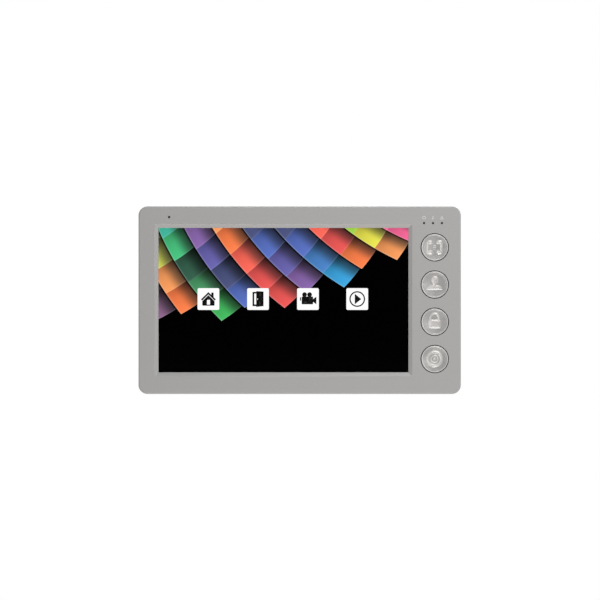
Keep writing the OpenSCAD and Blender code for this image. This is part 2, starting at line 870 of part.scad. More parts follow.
module card_socket() {
    color("silver") difference() {
        plate(card_box, card_back_d, key_back_d);
        plate([79.8, 95, card_z - 5.6, card_z + 5.6], card_back_d + 0.5, card_back_d + 1.5);
    }
}

// ---- Nodes ----

wall_bracket();
rear_cover();
front_bezel();
lcd_frame();
lcd_panel();
lcd_diffuser();
lcd_light_guide();
lcd_back_plate();
lcd_led_bar();
lcd_flex();
lcd_gasket();
lcd_clips();
lcd_clip_screws();
answer_button();
intercom_button();
unlock_button();
monitor_button();
answer_plunger();
intercom_plunger();
unlock_plunger();
monitor_plunger();
switch_bases();
switch_covers();
switch_domes();
key_board();
key_board_screws();
status_leds();
light_pipe();
mic_capsule();
mic_boot();
mic_leads();
main_board();
board_screws();
board_chips();
capacitors();
power_inductors();
board_headers();
wire_sockets();
socket_pins();
clock_battery();
battery_holder();
speaker_frame();
speaker_magnet();
speaker_cone();
speaker_gasket();
speaker_screws();
speaker_leads();
case_screws();
key_ribbon();
jog_housing();
jog_slider();
jog_lever();
power_switch_body();
power_switch_knob();
card_socket();
rear_label();
wall_pads();
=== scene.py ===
"""Visual model of a wall-hung video intercom monitor with a wide screen and four push buttons.

Shapes are worked out in millimetres as (x, z) places and depths counted from the wall towards
the front, and become metres in the shared frame when a piece is made: X runs to the right, +Y
points into the wall and Z is up, so a depth of d lies at y = -d.
"""

import json
import logging
import math
from dataclasses import dataclass, replace
from enum import Enum
from itertools import product
from typing import Callable, Sequence

import bmesh
import bpy
import numpy as np
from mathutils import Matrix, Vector
from mathutils.geometry import delaunay_2d_cdt


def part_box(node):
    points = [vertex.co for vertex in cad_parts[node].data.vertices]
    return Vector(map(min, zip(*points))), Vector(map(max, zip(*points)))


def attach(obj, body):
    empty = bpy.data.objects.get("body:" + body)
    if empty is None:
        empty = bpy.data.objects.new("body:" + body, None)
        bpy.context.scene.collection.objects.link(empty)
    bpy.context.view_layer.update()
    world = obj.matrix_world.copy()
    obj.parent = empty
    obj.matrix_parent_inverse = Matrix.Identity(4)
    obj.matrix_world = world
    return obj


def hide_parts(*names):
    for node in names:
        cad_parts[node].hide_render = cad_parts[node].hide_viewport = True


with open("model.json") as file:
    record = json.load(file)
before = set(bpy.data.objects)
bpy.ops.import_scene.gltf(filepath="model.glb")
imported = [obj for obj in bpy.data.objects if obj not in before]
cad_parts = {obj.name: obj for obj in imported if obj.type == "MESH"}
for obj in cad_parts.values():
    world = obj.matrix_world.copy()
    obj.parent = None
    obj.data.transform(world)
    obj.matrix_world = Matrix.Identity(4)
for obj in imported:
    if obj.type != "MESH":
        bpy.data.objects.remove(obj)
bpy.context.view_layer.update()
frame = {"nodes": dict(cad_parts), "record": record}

MM = 0.001
MERGE_REACH = 1e-7
LOG = logging.getLogger("monitor")
Colour = tuple[float, float, float]
Socket = bpy.types.NodeSocket

# Sizes that several sub-assemblies share, in millimetres. The window is given by its middle's x
# and z, its width and its height.
WINDOW = (-10.0, 0.0, 154.0, 89.0)
FRONT_DEPTH = 22.5
LAMP_X = (76.5, 82.0, 87.5)


# ---- Colours and finishes ----


def tone(level: float, warmth: float = 0.0) -> Colour:
    """Give a linear grey of that level, with more red and less blue as the warmth rises."""
    return (level * (1 + warmth), level, level * (1 - warmth))


def to_linear(colour: np.ndarray) -> np.ndarray:
    """Turn display colours into linear light with the usual power law of 2.2."""
    return np.clip(colour, 0, 1) ** 2.2


class Pattern(Enum):
    """The kinds of surface detail that a finish can carry."""

    PAINT = "metal flakes under a satin lacquer"
    GRAIN = "eroded mould texture"
    SPANGLE = "zinc crystals"
    BRUSHED = "fine parallel scratches"
    MOTTLE = "soft uneven tone"
    TURNED = "rings left by a lathe"
    TRACKS = "copper tracks under solder mask"
    GLOW = "lit picture colours"


class NodeSheet:
    """A node tree, with short calls to add nodes and to feed them."""

    def __init__(self, tree: bpy.types.NodeTree) -> None:
        """Draw on that tree."""
        self.tree = tree

    def feed(self, node: bpy.types.Node, feeds: dict[str | int, object]) -> None:
        """Give inputs of a node their plain values, or join them to other nodes' outputs.

        Args:
            node: The node to feed.
            feeds: A plain value or an output for each input's name or number.
        """
        for key, value in feeds.items():
            if isinstance(value, Socket):
                self.tree.links.new(value, node.inputs[key])
            else:
                node.inputs[key].default_value = value

    def node(self, kind: str, feeds: dict[str | int, object], **settings: object,
             ) -> bpy.types.Node:
        """Add a node, set its own properties and feed its inputs.

        Args:
            kind: The node's type name.
            feeds: A plain value or an output for each input's name or number.
            **settings: Properties to set on the node.

        Returns:
            The new node.
        """
        made = self.tree.nodes.new(kind)
        for key, value in settings.items():
            setattr(made, key, value)
        self.feed(made, feeds)
        return made

    def ramp(self, value: Socket, low: Colour, high: Colour, start: float = 0.3,
             end: float = 0.7) -> Socket:
        """Blend from one colour to another as a value rises.

        Args:
            value: The driving value.
            low: Colour at and below the start.
            high: Colour at and above the end.
            start: Value where the blend begins.
            end: Value where the blend ends.

        Returns:
            The blended colour.
        """
        made = self.node("ShaderNodeValToRGB", {"Fac": value})
        stops = made.color_ramp.elements
        stops[0].position, stops[0].color = start, (*low, 1)
        stops[1].position, stops[1].color = end, (*high, 1)
        return made.outputs["Color"]


class SurfaceSheet(NodeSheet):
    """A material's node tree, with the patterns that the finishes share."""

    def __init__(self, name: str) -> None:
        """Start an empty material with one principled surface.

        Args:
            name: The material's name.
        """
        self.material = bpy.data.materials.new(name)
        self.material.use_nodes = True
        super().__init__(self.material.node_tree)
        self.surface = self.tree.nodes["Principled BSDF"]
        self.place = self.node("ShaderNodeTexCoord", {}).outputs["Object"]

    def moved(self, scale: Sequence[float], shift: Sequence[float] = (0.0, 0.0, 0.0)) -> Socket:
        """Give the object coordinates multiplied by a scale for each axis, then shifted."""
        feeds = {"Scale": scale, "Location": shift, "Vector": self.place}
        return self.node("ShaderNodeMapping", feeds).outputs["Vector"]

    def noise(self, scale: float, detail: float = 2.0, place: Socket | None = None) -> Socket:
        """Add noise of so many cells a metre and finer octaves, about 0.5 on average."""
        feeds = {"Scale": scale, "Detail": detail, "Vector": place or self.place}
        return self.node("ShaderNodeTexNoise", feeds).outputs["Fac"]

    def span(self, value: Socket, low: float, high: float) -> Socket:
        """Map a value from the range 0.3 to 0.7 onto the range from low to high."""
        feeds = {"Value": value, "From Min": 0.3, "From Max": 0.7, "To Min": low, "To Max": high}
        return self.node("ShaderNodeMapRange", feeds).outputs["Result"]

    def relief(self, height: Socket, depth: float, edge: float = 0.0) -> None:
        """Bump the surface by a height, over edges that a small radius softens.

        Args:
            height: The height pattern, from 0 to 1.
            depth: Full height in metres.
            edge: Radius of the softened edges in metres, or 0 for none.
        """
        feeds: dict[str | int, object] = {"Strength": 1.0, "Distance": depth, "Height": height}
        if edge > 0:
            soft = self.node("ShaderNodeBevel", {"Radius": edge}, samples=4)
            feeds["Normal"] = soft.outputs["Normal"]
        bump = self.node("ShaderNodeBump", feeds)
        self.feed(self.surface, {"Normal": bump.outputs["Normal"]})


@dataclass(frozen=True)
class Finish:
    """One surface finish: its colour, its gloss and the detail that it carries."""

    name: str
    colour: Colour
    pattern: Pattern
    roughness: float = 0.5
    metallic: float = 0.0
    contrast: float = 0.08
    cells: float = 900.0
    depth: float = 0.02
    edge: float = 0.0
    coat: float = 0.0
    specular: float = 0.5
    glow: float = 0.0
    centre: tuple[float, float] = (0.0, 0.0)

    def shade(self, factor: float) -> Colour:
        """Give the colour made lighter or darker by a factor."""
        return tuple(min(1.0, part * factor) for part in self.colour)

    def material(self) -> bpy.types.Material:
        """Build the finish's material.

        Returns:
            The material, with its pattern read from object coordinates.
        """
        sheet = SurfaceSheet(self.name)
        sheet.feed(sheet.surface, {
            "Metallic": self.metallic, "Specular IOR Level": self.specular,
            "Coat Weight": self.coat, "Coat Roughness": 0.2, "Emission Strength": self.glow})
        draw: dict[Pattern, Callable[[SurfaceSheet], None]] = {
            Pattern.PAINT: self.draw_paint, Pattern.GRAIN: self.draw_grain,
            Pattern.SPANGLE: self.draw_spangle, Pattern.BRUSHED: self.draw_brushed,
            Pattern.MOTTLE: self.draw_mottle, Pattern.TRACKS: self.draw_tracks,
            Pattern.TURNED: self.draw_turned, Pattern.GLOW: self.draw_glow,
        }
        draw[self.pattern](sheet)
        return sheet.material

    def lay(self, sheet: SurfaceSheet, value: Socket, rough_spread: float,
            height: Socket | None = None) -> None:
        """Let a pattern drive the colour and the roughness, and a height bump the surface.

        Args:
            sheet: The sheet to draw on.
            value: The driving pattern.
            rough_spread: How far the roughness moves either way.
            height: The height pattern, or None for the driving pattern itself.
        """
        low, high = self.roughness - rough_spread, self.roughness + rough_spread
        sheet.feed(sheet.surface, {
            "Base Color": sheet.ramp(value, self.shade(1 - self.contrast),
                                     self.shade(1 + self.contrast)),
            "Roughness": sheet.span(value, low, high)})
        sheet.relief(height or value, self.depth * MM, self.edge * MM)

    def draw_paint(self, sheet: SurfaceSheet) -> None:
        """Draw flakes as fine noise, over the faint ripple of sprayed lacquer."""
        self.lay(sheet, sheet.noise(self.cells, 3.0), 0.04, sheet.noise(self.cells / 4, 1.0))

    def draw_grain(self, sheet: SurfaceSheet) -> None:
        """Draw a mould grain as noise with several octaves in height, tone and gloss."""
        self.lay(sheet, sheet.noise(self.cells, 4.0), 0.08)

    def draw_brushed(self, sheet: SurfaceSheet) -> None:
        """Draw scratches as noise that is stretched along X."""
        self.lay(sheet, sheet.noise(self.cells, 3.0, sheet.moved((0.04, 1.0, 1.0))), 0.1)

    def draw_mottle(self, sheet: SurfaceSheet) -> None:
        """Draw a soft tone change with a shallow matching height."""
        self.lay(sheet, sheet.noise(self.cells), 0.05)

    def draw_spangle(self, sheet: SurfaceSheet) -> None:
        """Draw zinc crystals as cells of their own tone, with a fine scratch height.

        Args:
            sheet: The sheet to draw on.
        """
        cells = sheet.node("ShaderNodeTexVoronoi", {"Scale": self.cells, "Vector": sheet.place})
        grey = sheet.node("ShaderNodeSeparateColor", {"Color": cells.outputs["Color"]})
        scratches = sheet.noise(60.0, 3.0, sheet.moved((1.0, 1.0, 30.0)))
        self.lay(sheet, grey.outputs["Red"], 0.02, scratches)

    def draw_turned(self, sheet: SurfaceSheet) -> None:
        """Draw fine rings as a cosine of the distance from the finish's own centre.

        Args:
            sheet: The sheet to draw on.
        """
        shift = (-self.centre[0] * MM, 0, -self.centre[1] * MM)
        reach = sheet.node("ShaderNodeVectorMath", {0: sheet.moved((1, 0, 1), shift)},
                           operation="LENGTH")
        turns = sheet.node("ShaderNodeMath", {0: reach.outputs["Value"],
                                              1: 2 * math.pi * self.cells}, operation="MULTIPLY")
        wave = sheet.node("ShaderNodeMath", {0: turns.outputs["Value"]}, operation="COSINE")
        self.lay(sheet, sheet.noise(300.0), 0.04, wave.outputs["Value"])

    def draw_tracks(self, sheet: SurfaceSheet) -> None:
        """Draw tracks as two crossing sets of bent bands that show lighter under the mask.

        Args:
            sheet: The sheet to draw on.
        """
        feeds = {"Scale": self.cells, "Distortion": 3.0, "Detail": 1.0, "Vector": sheet.place}
        bands = [sheet.node("ShaderNodeTexWave", feeds, bands_direction=axis).outputs["Fac"]
                 for axis in ("X", "Z")]
        mix = sheet.node("ShaderNodeMath", dict(enumerate(bands)), operation="MAXIMUM")
        copper = mix.outputs["Value"]
        colour = sheet.ramp(copper, self.colour, self.shade(1.6), 0.82, 0.9)
        sheet.feed(sheet.surface, {"Base Color": colour, "Roughness": self.roughness})
        sheet.relief(copper, self.depth * MM, self.edge * MM)

    def draw_glow(self, sheet: SurfaceSheet) -> None:
        """Draw the piece's own picture colours as light from behind a polished face.

        Args:
            sheet: The sheet to draw on.
        """
        picture = sheet.node("ShaderNodeAttribute", {}, attribute_name=PICTURE)
        sheet.feed(sheet.surface, {
            "Emission Color": picture.outputs["Color"], "Emission Strength": 1.0,
            "Roughness": self.roughness, "Base Color": (*self.colour, 1)})


PICTURE = "picture"

BEZEL_PAINT = Finish("bezel_paint", tone(0.33, 0.004), Pattern.PAINT, roughness=0.42,
                     contrast=0.05, cells=4200, depth=0.012, specular=0.45)
PEARL_METAL = Finish("pearl_metal", tone(0.4, 0.005), Pattern.TURNED, roughness=0.38,
                     metallic=0.4, contrast=0.03, cells=4200, depth=0.005)
# The symbols' lighter metal, also laid on a ring inside each button's rim and over the top of its
# rounded edge as a painted highlight.
SYMBOL_AND_RIM_HIGHLIGHT_METAL = Finish("symbol_and_rim_highlight_metal", tone(0.5, 0.02), Pattern.TURNED, roughness=0.42,
                      metallic=0.25, contrast=0.03, cells=4200, depth=0.003)
# Near-black plastic on the bezel's hole walls and the small holes' rims: partly bare moulding,
# partly painted shade that darkens the holes.
BARE_PLASTIC_AND_HOLE_SHADE = Finish("bare_plastic_and_hole_shade", tone(0.02), Pattern.GRAIN, roughness=0.6, contrast=0.15,
                      cells=2200, depth=0.02)
# Near-black skirt and flange of each cap: partly a dark plastic body, partly painted shade that
# darkens the gap round the cap.
CAP_SKIRT_AND_GAP_SHADE = Finish("cap_skirt_and_gap_shade", tone(0.01), Pattern.GRAIN, roughness=0.6, contrast=0.15,
                   cells=2200, depth=0.02)
PICTURE_GLOW = Finish("picture_glow", (0.0, 0.0, 0.0), Pattern.GLOW, roughness=0.3,
                      specular=0.06)
MARK_INK = Finish("mark_ink", tone(0.62), Pattern.MOTTLE, roughness=0.5, cells=1500, depth=0.004)
LABEL_INK = Finish("label_ink", tone(0.12), Pattern.MOTTLE, roughness=0.6, cells=1500, depth=0.004)

SLOT_FINISHES: dict[str, Finish] = {
    "bezel": BEZEL_PAINT,
    "cover": Finish("cover_plastic", tone(0.045), Pattern.GRAIN, roughness=0.55, contrast=0.16,
                    cells=1700, depth=0.05, edge=0.25),
    "zinc_steel": Finish("zinc_steel", tone(0.6, -0.01), Pattern.SPANGLE, roughness=0.4,
                         metallic=1.0, contrast=0.03, cells=420, depth=0.012, edge=0.12),
    "screw_steel": Finish("screw_steel", tone(0.2), Pattern.BRUSHED, roughness=0.35,
                          metallic=1.0, contrast=0.15, cells=2500, depth=0.01, edge=0.08),
    "button_pearl": PEARL_METAL,
    "screen_glass": Finish("screen_glass", tone(0.0003), Pattern.MOTTLE, roughness=0.2,
                           contrast=0.3, cells=900, depth=0.001, specular=0.03),
    "white_film": Finish("white_film", tone(0.82, 0.01), Pattern.MOTTLE, roughness=0.45,
                         contrast=0.03, cells=400, depth=0.008, edge=0.08),
    "flex_amber": Finish("flex_amber", (0.42, 0.16, 0.025), Pattern.BRUSHED, roughness=0.35,
                         contrast=0.2, cells=700, depth=0.008, coat=0.4),
    "black_rubber": Finish("black_rubber", tone(0.018), Pattern.GRAIN, roughness=0.8,
                           contrast=0.2, cells=900, depth=0.04, edge=0.15),
    "black_plastic": Finish("black_plastic", tone(0.02), Pattern.GRAIN, roughness=0.5,
                            contrast=0.15, cells=2200, depth=0.02, edge=0.1),
    "side_control": Finish("side_control", tone(0.09), Pattern.GRAIN, roughness=0.45,
                           contrast=0.12, cells=2400, depth=0.02, edge=0.1),
    "ivory_plastic": Finish("ivory_plastic", (0.72, 0.66, 0.5), Pattern.MOTTLE, roughness=0.4,
                            contrast=0.04, cells=500, depth=0.01, edge=0.1),
    "smoke_plastic": Finish("smoke_plastic", tone(0.002), Pattern.MOTTLE, roughness=0.3,
                            contrast=0.2, cells=900, depth=0.004, edge=0.05, specular=0.15),
    "board_green": Finish("board_green", (0.012, 0.09, 0.03), Pattern.TRACKS, roughness=0.35,
                          cells=70, depth=0.03, coat=0.5),
    "can_aluminium": Finish("can_aluminium", tone(0.75), Pattern.BRUSHED, roughness=0.3,
                            metallic=1.0, contrast=0.08, cells=1800, depth=0.008, edge=0.2),
    "gold_pin": Finish("gold_pin", (0.83, 0.55, 0.18), Pattern.BRUSHED, roughness=0.25,
                       metallic=1.0, contrast=0.06, cells=3000, depth=0.004, edge=0.05),
    "lead_insulation": Finish("lead_insulation", (0.38, 0.02, 0.015), Pattern.MOTTLE,
                              roughness=0.45, contrast=0.08, cells=1200, depth=0.01),
}


class Palette:
    """Materials made from the finishes, each built once."""

    def __init__(self) -> None:
        """Start with no material made."""
        self.made: dict[str, bpy.types.Material] = {}

    def of(self, finish: Finish) -> bpy.types.Material:
        """Give the material of a finish, and build it at its first use.

        Args:
            finish: The wanted finish.

        Returns:
            The shared material.
        """
        if finish.name not in self.made:
            self.made[finish.name] = finish.material()
        return self.made[finish.name]


# ---- Shapes ----


def at_depth(places: np.ndarray, depth: np.ndarray | float) -> np.ndarray:
    """Lift (x, z) places to points (x, -depth, z)."""
    return np.stack([places[..., 0], np.broadcast_to(-np.asarray(depth, float),
                                                     places.shape[:-1]), places[..., 1]], -1)


def circle(radius: float, steps: int = 48, centre: Sequence[float] = (0.0, 0.0)) -> np.ndarray:
    """Give points at equal angles round a centre: radius times cosine and sine."""
    turn = np.linspace(0, 2 * np.pi, steps, endpoint=False)
    return np.stack([centre[0] + radius * np.cos(turn), centre[1] + radius * np.sin(turn)], -1)


def rounded_ring(half_w: float, half_h: float, radius: float, steps: int = 8,
                 centre: Sequence[float] = (0.0, 0.0)) -> np.ndarray:
    """Walk once round a rectangle with quarter circles at its corners.

    Each corner's arc is its centre plus the radius times cosine and sine of angles that cover a
    quarter turn, and the straight sides join one arc's last point to the next one's first.

    Args:
        half_w: Half of the width.
        half_h: Half of the height.
        radius: Corner radius.
        steps: Steps in each arc.
        centre: Middle of the rectangle.

    Returns:
        Points of shape (4 * (steps + 1), 2), anticlockwise from the right side.
    """
    quarter = np.linspace(0, np.pi / 2, steps + 1)
    turn = quarter[None, :] + np.arange(4)[:, None] * np.pi / 2
    signs = np.array([[1, 1], [-1, 1], [-1, -1], [1, -1]])
    inner = signs * np.array([half_w - radius, half_h - radius])
    arcs = inner[:, None, :] + radius * np.stack([np.cos(turn), np.sin(turn)], -1)
    return arcs.reshape(-1, 2) + np.asarray(centre, float)


def rectangle(left: float, right: float, bottom: float, top: float) -> np.ndarray:
    """Give the four corners of an upright rectangle."""
    return np.array([[left, bottom], [right, bottom], [right, top], [left, top]], float)


def smooth_step(value: np.ndarray) -> np.ndarray:
    """Ease from 0 to 1: three times the square less twice the cube of the clamped value."""
    held = np.clip(value, 0, 1)
    return held * held * (3 - 2 * held)


class Surface:
    """Grids, strips and flat faces gathered in millimetres into one piece."""

    def __init__(self) -> None:
        """Start with no face."""
        self.points: list[np.ndarray] = []
        self.faces: list[Sequence[int]] = []
        self.slots: list[int] = []
        self.colours: list[np.ndarray] = []
        self.count = 0

    def add(self, points: np.ndarray, faces: np.ndarray, slot: int = 0,
            colours: np.ndarray | None = None) -> None:
        """Add points and the faces between them.

        Args:
            points: Points of shape (n, 3).
            faces: Point numbers of shape (faces, corners), counted within these points.
            slot: Material slot of the faces.
            colours: Picture colour of each point, or None for black.
        """
        flat = np.asarray(points, float).reshape(-1, 3)
        self.points.append(flat)
        self.colours.append(np.zeros((len(flat), 3)) if colours is None else colours.reshape(-1, 3))
        shifted = (np.asarray(faces) + self.count).tolist()
        self.faces.extend(shifted)
        self.slots.extend([slot] * len(shifted))
        self.count += len(flat)

    def grid(self, points: np.ndarray, slot: int = 0, wrap_rows: bool = False,
             wrap_columns: bool = False, colours: np.ndarray | None = None) -> None:
        """Add a grid of four-sided faces.

        Args:
            points: Points of shape (rows, columns, 3).
            slot: Material slot of the faces.
            wrap_rows: Whether the last row joins the first.
            wrap_columns: Whether the last column joins the first.
            colours: Picture colours of shape (rows, columns, 3), or None.
        """
        rows, columns = points.shape[:2]
        numbers = np.arange(rows * columns).reshape(rows, columns)
        if wrap_rows:
            numbers = np.vstack([numbers, numbers[:1]])
        if wrap_columns:
            numbers = np.hstack([numbers, numbers[:, :1]])
        quads = np.stack([numbers[:-1, :-1], numbers[:-1, 1:], numbers[1:, 1:], numbers[1:, :-1]],
                         -1).reshape(-1, 4)
        self.add(points, quads, slot, colours)

    def lathe(self, x: float, z: float, profile: np.ndarray, steps: int = 48,
              looped: bool = False, slot: int = 0) -> None:
        """Turn a profile of radius and depth round the line through (x, z).

        Args:
            x: Sideways place of the axis.
            z: Height of the axis.
            profile: Radius and depth pairs of shape (n, 2).
            steps: Steps round the axis.
            looped: Whether the profile's end joins its start.
            slot: Material slot of the faces.
        """
        profile = np.asarray(profile, float)
        ring = circle(1.0, steps)
        places = profile[:, None, :1] * ring[None] + np.array([x, z])
        self.grid(at_depth(places, profile[:, 1:2]), slot, looped, True)

    def prism(self, outline: np.ndarray, low: float, high: float, slot: int = 0,
              colour: Colour = (0.0, 0.0, 0.0)) -> None:
        """Raise a flat outline into a closed plate between two depths.

        Args:
            outline: Corners of shape (n, 2) in walking order.
            low: Depth of the back face.
            high: Depth of the front face.
            slot: Material slot of the faces.
            colour: Picture colour of the plate.
        """
        count = len(outline)
        points = np.vstack([at_depth(outline, low), at_depth(outline, high)])
        here = np.arange(count)
        after = (here + 1) % count
        sides = np.stack([here, after, after + count, here + count], -1)
        self.add(points, sides, slot, np.tile(np.array(colour, float), (2 * count, 1)))
        ends = np.stack([here[::-1], here + count]) + self.count - 2 * count
        self.faces.extend(ends.tolist())
        self.slots.extend([slot, slot])

    def band(self, outer: np.ndarray, inner: np.ndarray, low: float, high: float,
             slot: int = 0, colour: Colour = (0.0, 0.0, 0.0)) -> None:
        """Raise the strip between two matching rings into a closed plate.

        Args:
            outer: Outer ring of shape (n, 2).
            inner: Inner ring with as many points, in the same order.
            low: Depth of the back face.
            high: Depth of the front face.
            slot: Material slot of the faces.
            colour: Picture colour of the plate.
        """
        rings = np.stack([at_depth(outer, low), at_depth(outer, high), at_depth(inner, high),
                          at_depth(inner, low)])
        self.grid(rings, slot, True, True, np.broadcast_to(np.array(colour, float), rings.shape))

    def sheet(self, outline: np.ndarray, holes: Sequence[np.ndarray], depth: float) -> None:
        """Fill a flat outline with holes by constrained triangles.

        Triangles of the plane's constrained Delaunay mesh are kept where their middle lies
        outside every hole, which is where the summed turn of the hole seen from it is nothing.

        Args:
            outline: The outer ring of shape (n, 2).
            holes: Rings of the holes.
            depth: Depth of the face.
        """
        loops = [outline, *holes]
        starts = np.cumsum([0] + [len(loop) for loop in loops])
        runs = [start + np.arange(len(loop)) for start, loop in zip(starts, loops)]
        edges = np.vstack([np.stack([run, np.roll(run, -1)], -1) for run in runs])
        places, _, faces, *_ = delaunay_2d_cdt(list(map(Vector, np.vstack(loops).tolist())),
                                               edges.tolist(), [], 1, 1e-6)
        places = np.array(places)
        corners = np.array(faces)
        middles = places[corners].mean(1)
        keep = np.ones(len(corners), bool)
        for hole in holes:
            arms = hole[None] - middles[:, None]
            angle = np.arctan2(arms[..., 1], arms[..., 0])
            steps = np.diff(np.concatenate([angle, angle[:, :1]], 1), axis=1)
            turned = ((steps + np.pi) % (2 * np.pi) - np.pi).sum(1)
            keep &= np.abs(turned) < np.pi
        self.add(at_depth(places, depth), corners[keep])

    def piece(self, name: str, materials: Sequence[bpy.types.Material],
              sharp_angle: float = 32.0) -> bpy.types.Object:
        """Make the gathered faces one smooth-shaded object at the origin.

        Args:
            name: The object's name.
            materials: Materials in slot order.
            sharp_angle: Edges steeper than this stay sharp, in degrees.

        Returns:
            The new object, with doubles merged and faces turned outwards.
        """
        mesh = bpy.data.meshes.new(name)
        mesh.from_pydata((np.vstack(self.points) * MM).tolist(), [], self.faces)
        mesh.polygons.foreach_set("material_index", self.slots)
        shades = np.vstack(self.colours)
        if shades.any():
            corners = np.empty(len(mesh.loops), np.int32)
            mesh.loops.foreach_get("vertex_index", corners)
            layer = mesh.color_attributes.new(PICTURE, "FLOAT_COLOR", "CORNER")
            opaque = np.hstack([shades, np.ones((len(shades), 1))])[corners]
            layer.data.foreach_set("color", opaque.astype(np.float32).ravel())
        for material in materials:
            mesh.materials.append(material)
        self.close(mesh)
        mesh.shade_smooth()
        mesh.set_sharp_from_angle(angle=math.radians(sharp_angle))
        made = bpy.data.objects.new(name, mesh)
        bpy.context.scene.collection.objects.link(made)
        return made

    @staticmethod
    def close(mesh: bpy.types.Mesh) -> None:
        """Merge doubled points and turn all faces outwards.

        Args:
            mesh: The mesh to close.
        """
        work = bmesh.new()
        work.from_mesh(mesh)
        bmesh.ops.remove_doubles(work, verts=work.verts, dist=MERGE_REACH)
        bmesh.ops.dissolve_degenerate(work, edges=work.edges, dist=MERGE_REACH / 10)
        bmesh.ops.recalc_face_normals(work, faces=work.faces)
        work.to_mesh(mesh)
        work.free()


def place_piece(made: bpy.types.Object, body: str, slot: str, *nodes: str) -> bpy.types.Object:
    """Let a piece ride on a body and stand for the nodes it replaces.

    Args:
        made: The piece.
        body: Name of the body that carries it.
        slot: Name of the record's finish slot; not used.
        *nodes: Names of the nodes that it replaces.

    Returns:
        The same piece.
    """
    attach(made, body)
    if nodes:
        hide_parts(*nodes)
    LOG.info("%s rides on %s, %d faces", made.name, body, len(made.data.polygons))
    return made


# ---- Distances for sunk symbols ----


def round_shape(p: np.ndarray, x: float, z: float, radius: float) -> np.ndarray:
    """Distance from a disc: distance from its centre less its radius."""
    return np.hypot(p[..., 0] - x, p[..., 1] - z) - radius


def oval_shape(p: np.ndarray, x: float, z: float, half_w: float, half_h: float) -> np.ndarray:
    """Rough distance from an oval: the scaled distance less one, times the smaller half size."""
    scaled = np.hypot((p[..., 0] - x) / half_w, (p[..., 1] - z) / half_h)
    return (scaled - 1) * min(half_w, half_h)


def box_shape(p: np.ndarray, x: float, z: float, half_w: float, half_h: float,
              corner: float = 0.3) -> np.ndarray:
    """Distance from a rectangle with round corners.

    The overshoot past the inner rectangle is measured on each axis; its length outside, or its
    larger part inside, less the corner radius is the distance.

    Args:
        p: Places of shape (..., 2).
        x: Sideways place of the middle.
        z: Height of the middle.
        half_w: Half of the width.
        half_h: Half of the height.
        corner: Corner radius.

    Returns:
        The distance, below nothing inside the rectangle.
    """
    over_x = np.abs(p[..., 0] - x) - half_w + corner
    over_z = np.abs(p[..., 1] - z) - half_h + corner
    outside = np.hypot(np.maximum(over_x, 0), np.maximum(over_z, 0))
    return outside + np.minimum(np.maximum(over_x, over_z), 0) - corner


def ring_shape(p: np.ndarray, x: float, z: float, radius: float, half_t: float) -> np.ndarray:
    """Distance from a ring: how far the distance from its circle passes half its thickness."""
    return np.abs(np.hypot(p[..., 0] - x, p[..., 1] - z) - radius) - half_t


class Symbol(Enum):
    """The sunk symbols on the buttons."""

    HANDSETS = "two facing handsets"
    PERSON = "head and shoulders"
    PADLOCK = "open padlock"
    EYE = "ringed lens"

    def distance(self, p: np.ndarray) -> np.ndarray:
        """Measure how far places from the button's middle lie outside the symbol."""
        return {Symbol.HANDSETS: handsets, Symbol.PERSON: person, Symbol.PADLOCK: padlock,
                Symbol.EYE: eye}[self](p)


def handsets(p: np.ndarray) -> np.ndarray:
    """Hollow a rounded block into a bracket on each side, and join three short bars between.

    Args:
        p: Places of shape (..., 2) from the button's middle.

    Returns:
        The distance in millimetres, below nothing inside the shape.
    """
    mirrored = np.stack([np.abs(p[..., 0]), p[..., 1]], -1)
    bracket = np.maximum(box_shape(mirrored, 3.1, 0.0, 1.85, 4.3, 1.2),
                         -box_shape(mirrored, 2.0, 0.0, 1.45, 1.95, 0.5))
    bars = [box_shape(p, 0.0, level, 0.85, 0.26, 0.2) for level in (-1.1, 0.0, 1.1)]
    return np.minimum.reduce([bracket, *bars])


def person(p: np.ndarray) -> np.ndarray:
    """Join an oval head, a neck and the upper half of an oval for the shoulders.

    Args:
        p: Places of shape (..., 2) from the button's middle.

    Returns:
        The distance in millimetres, below nothing inside the shape.
    """
    head = oval_shape(p, 0.2, 2.7, 2.15, 2.55)
    neck = box_shape(p, 0.1, -0.2, 1.1, 1.3, 0.3)
    shoulders = np.maximum(oval_shape(p, 0.0, -3.3, 4.9, 3.2), -3.3 - p[..., 1])
    return np.minimum.reduce([head, neck, shoulders])


def padlock(p: np.ndarray) -> np.ndarray:
    """Join a rounded body and a shackle that is a half ring with two straight legs.

    Args:
        p: Places of shape (..., 2) from the button's middle.

    Returns:
        The distance in millimetres, below nothing inside the shape.
    """
    body = box_shape(p, 0.0, -1.4, 3.8, 2.7, 0.8)
    bow = np.maximum(ring_shape(p, 0.0, 2.4, 2.5, 0.7), 2.4 - p[..., 1])
    legs = [box_shape(p, side, 1.6, 0.7, 1.4, 0.1) for side in (-2.5, 2.5)]
    return np.minimum.reduce([body, bow, *legs])


def eye(p: np.ndarray) -> np.ndarray:
    """Join a centre dot and two rings round it."""
    return np.minimum.reduce([round_shape(p, 0.0, 0.0, 0.9), ring_shape(p, 0.0, 0.0, 2.1, 0.4),
                              ring_shape(p, 0.0, 0.0, 4.2, 0.95)])


# ---- Front bezel ----


@dataclass(frozen=True)
class BossRows:
    """Rows of equal screw bosses: their places, two radii and the depth where they start."""

    x: tuple[float, ...]
    z: tuple[float, ...]
    outer: float
    inner: float
    start: float


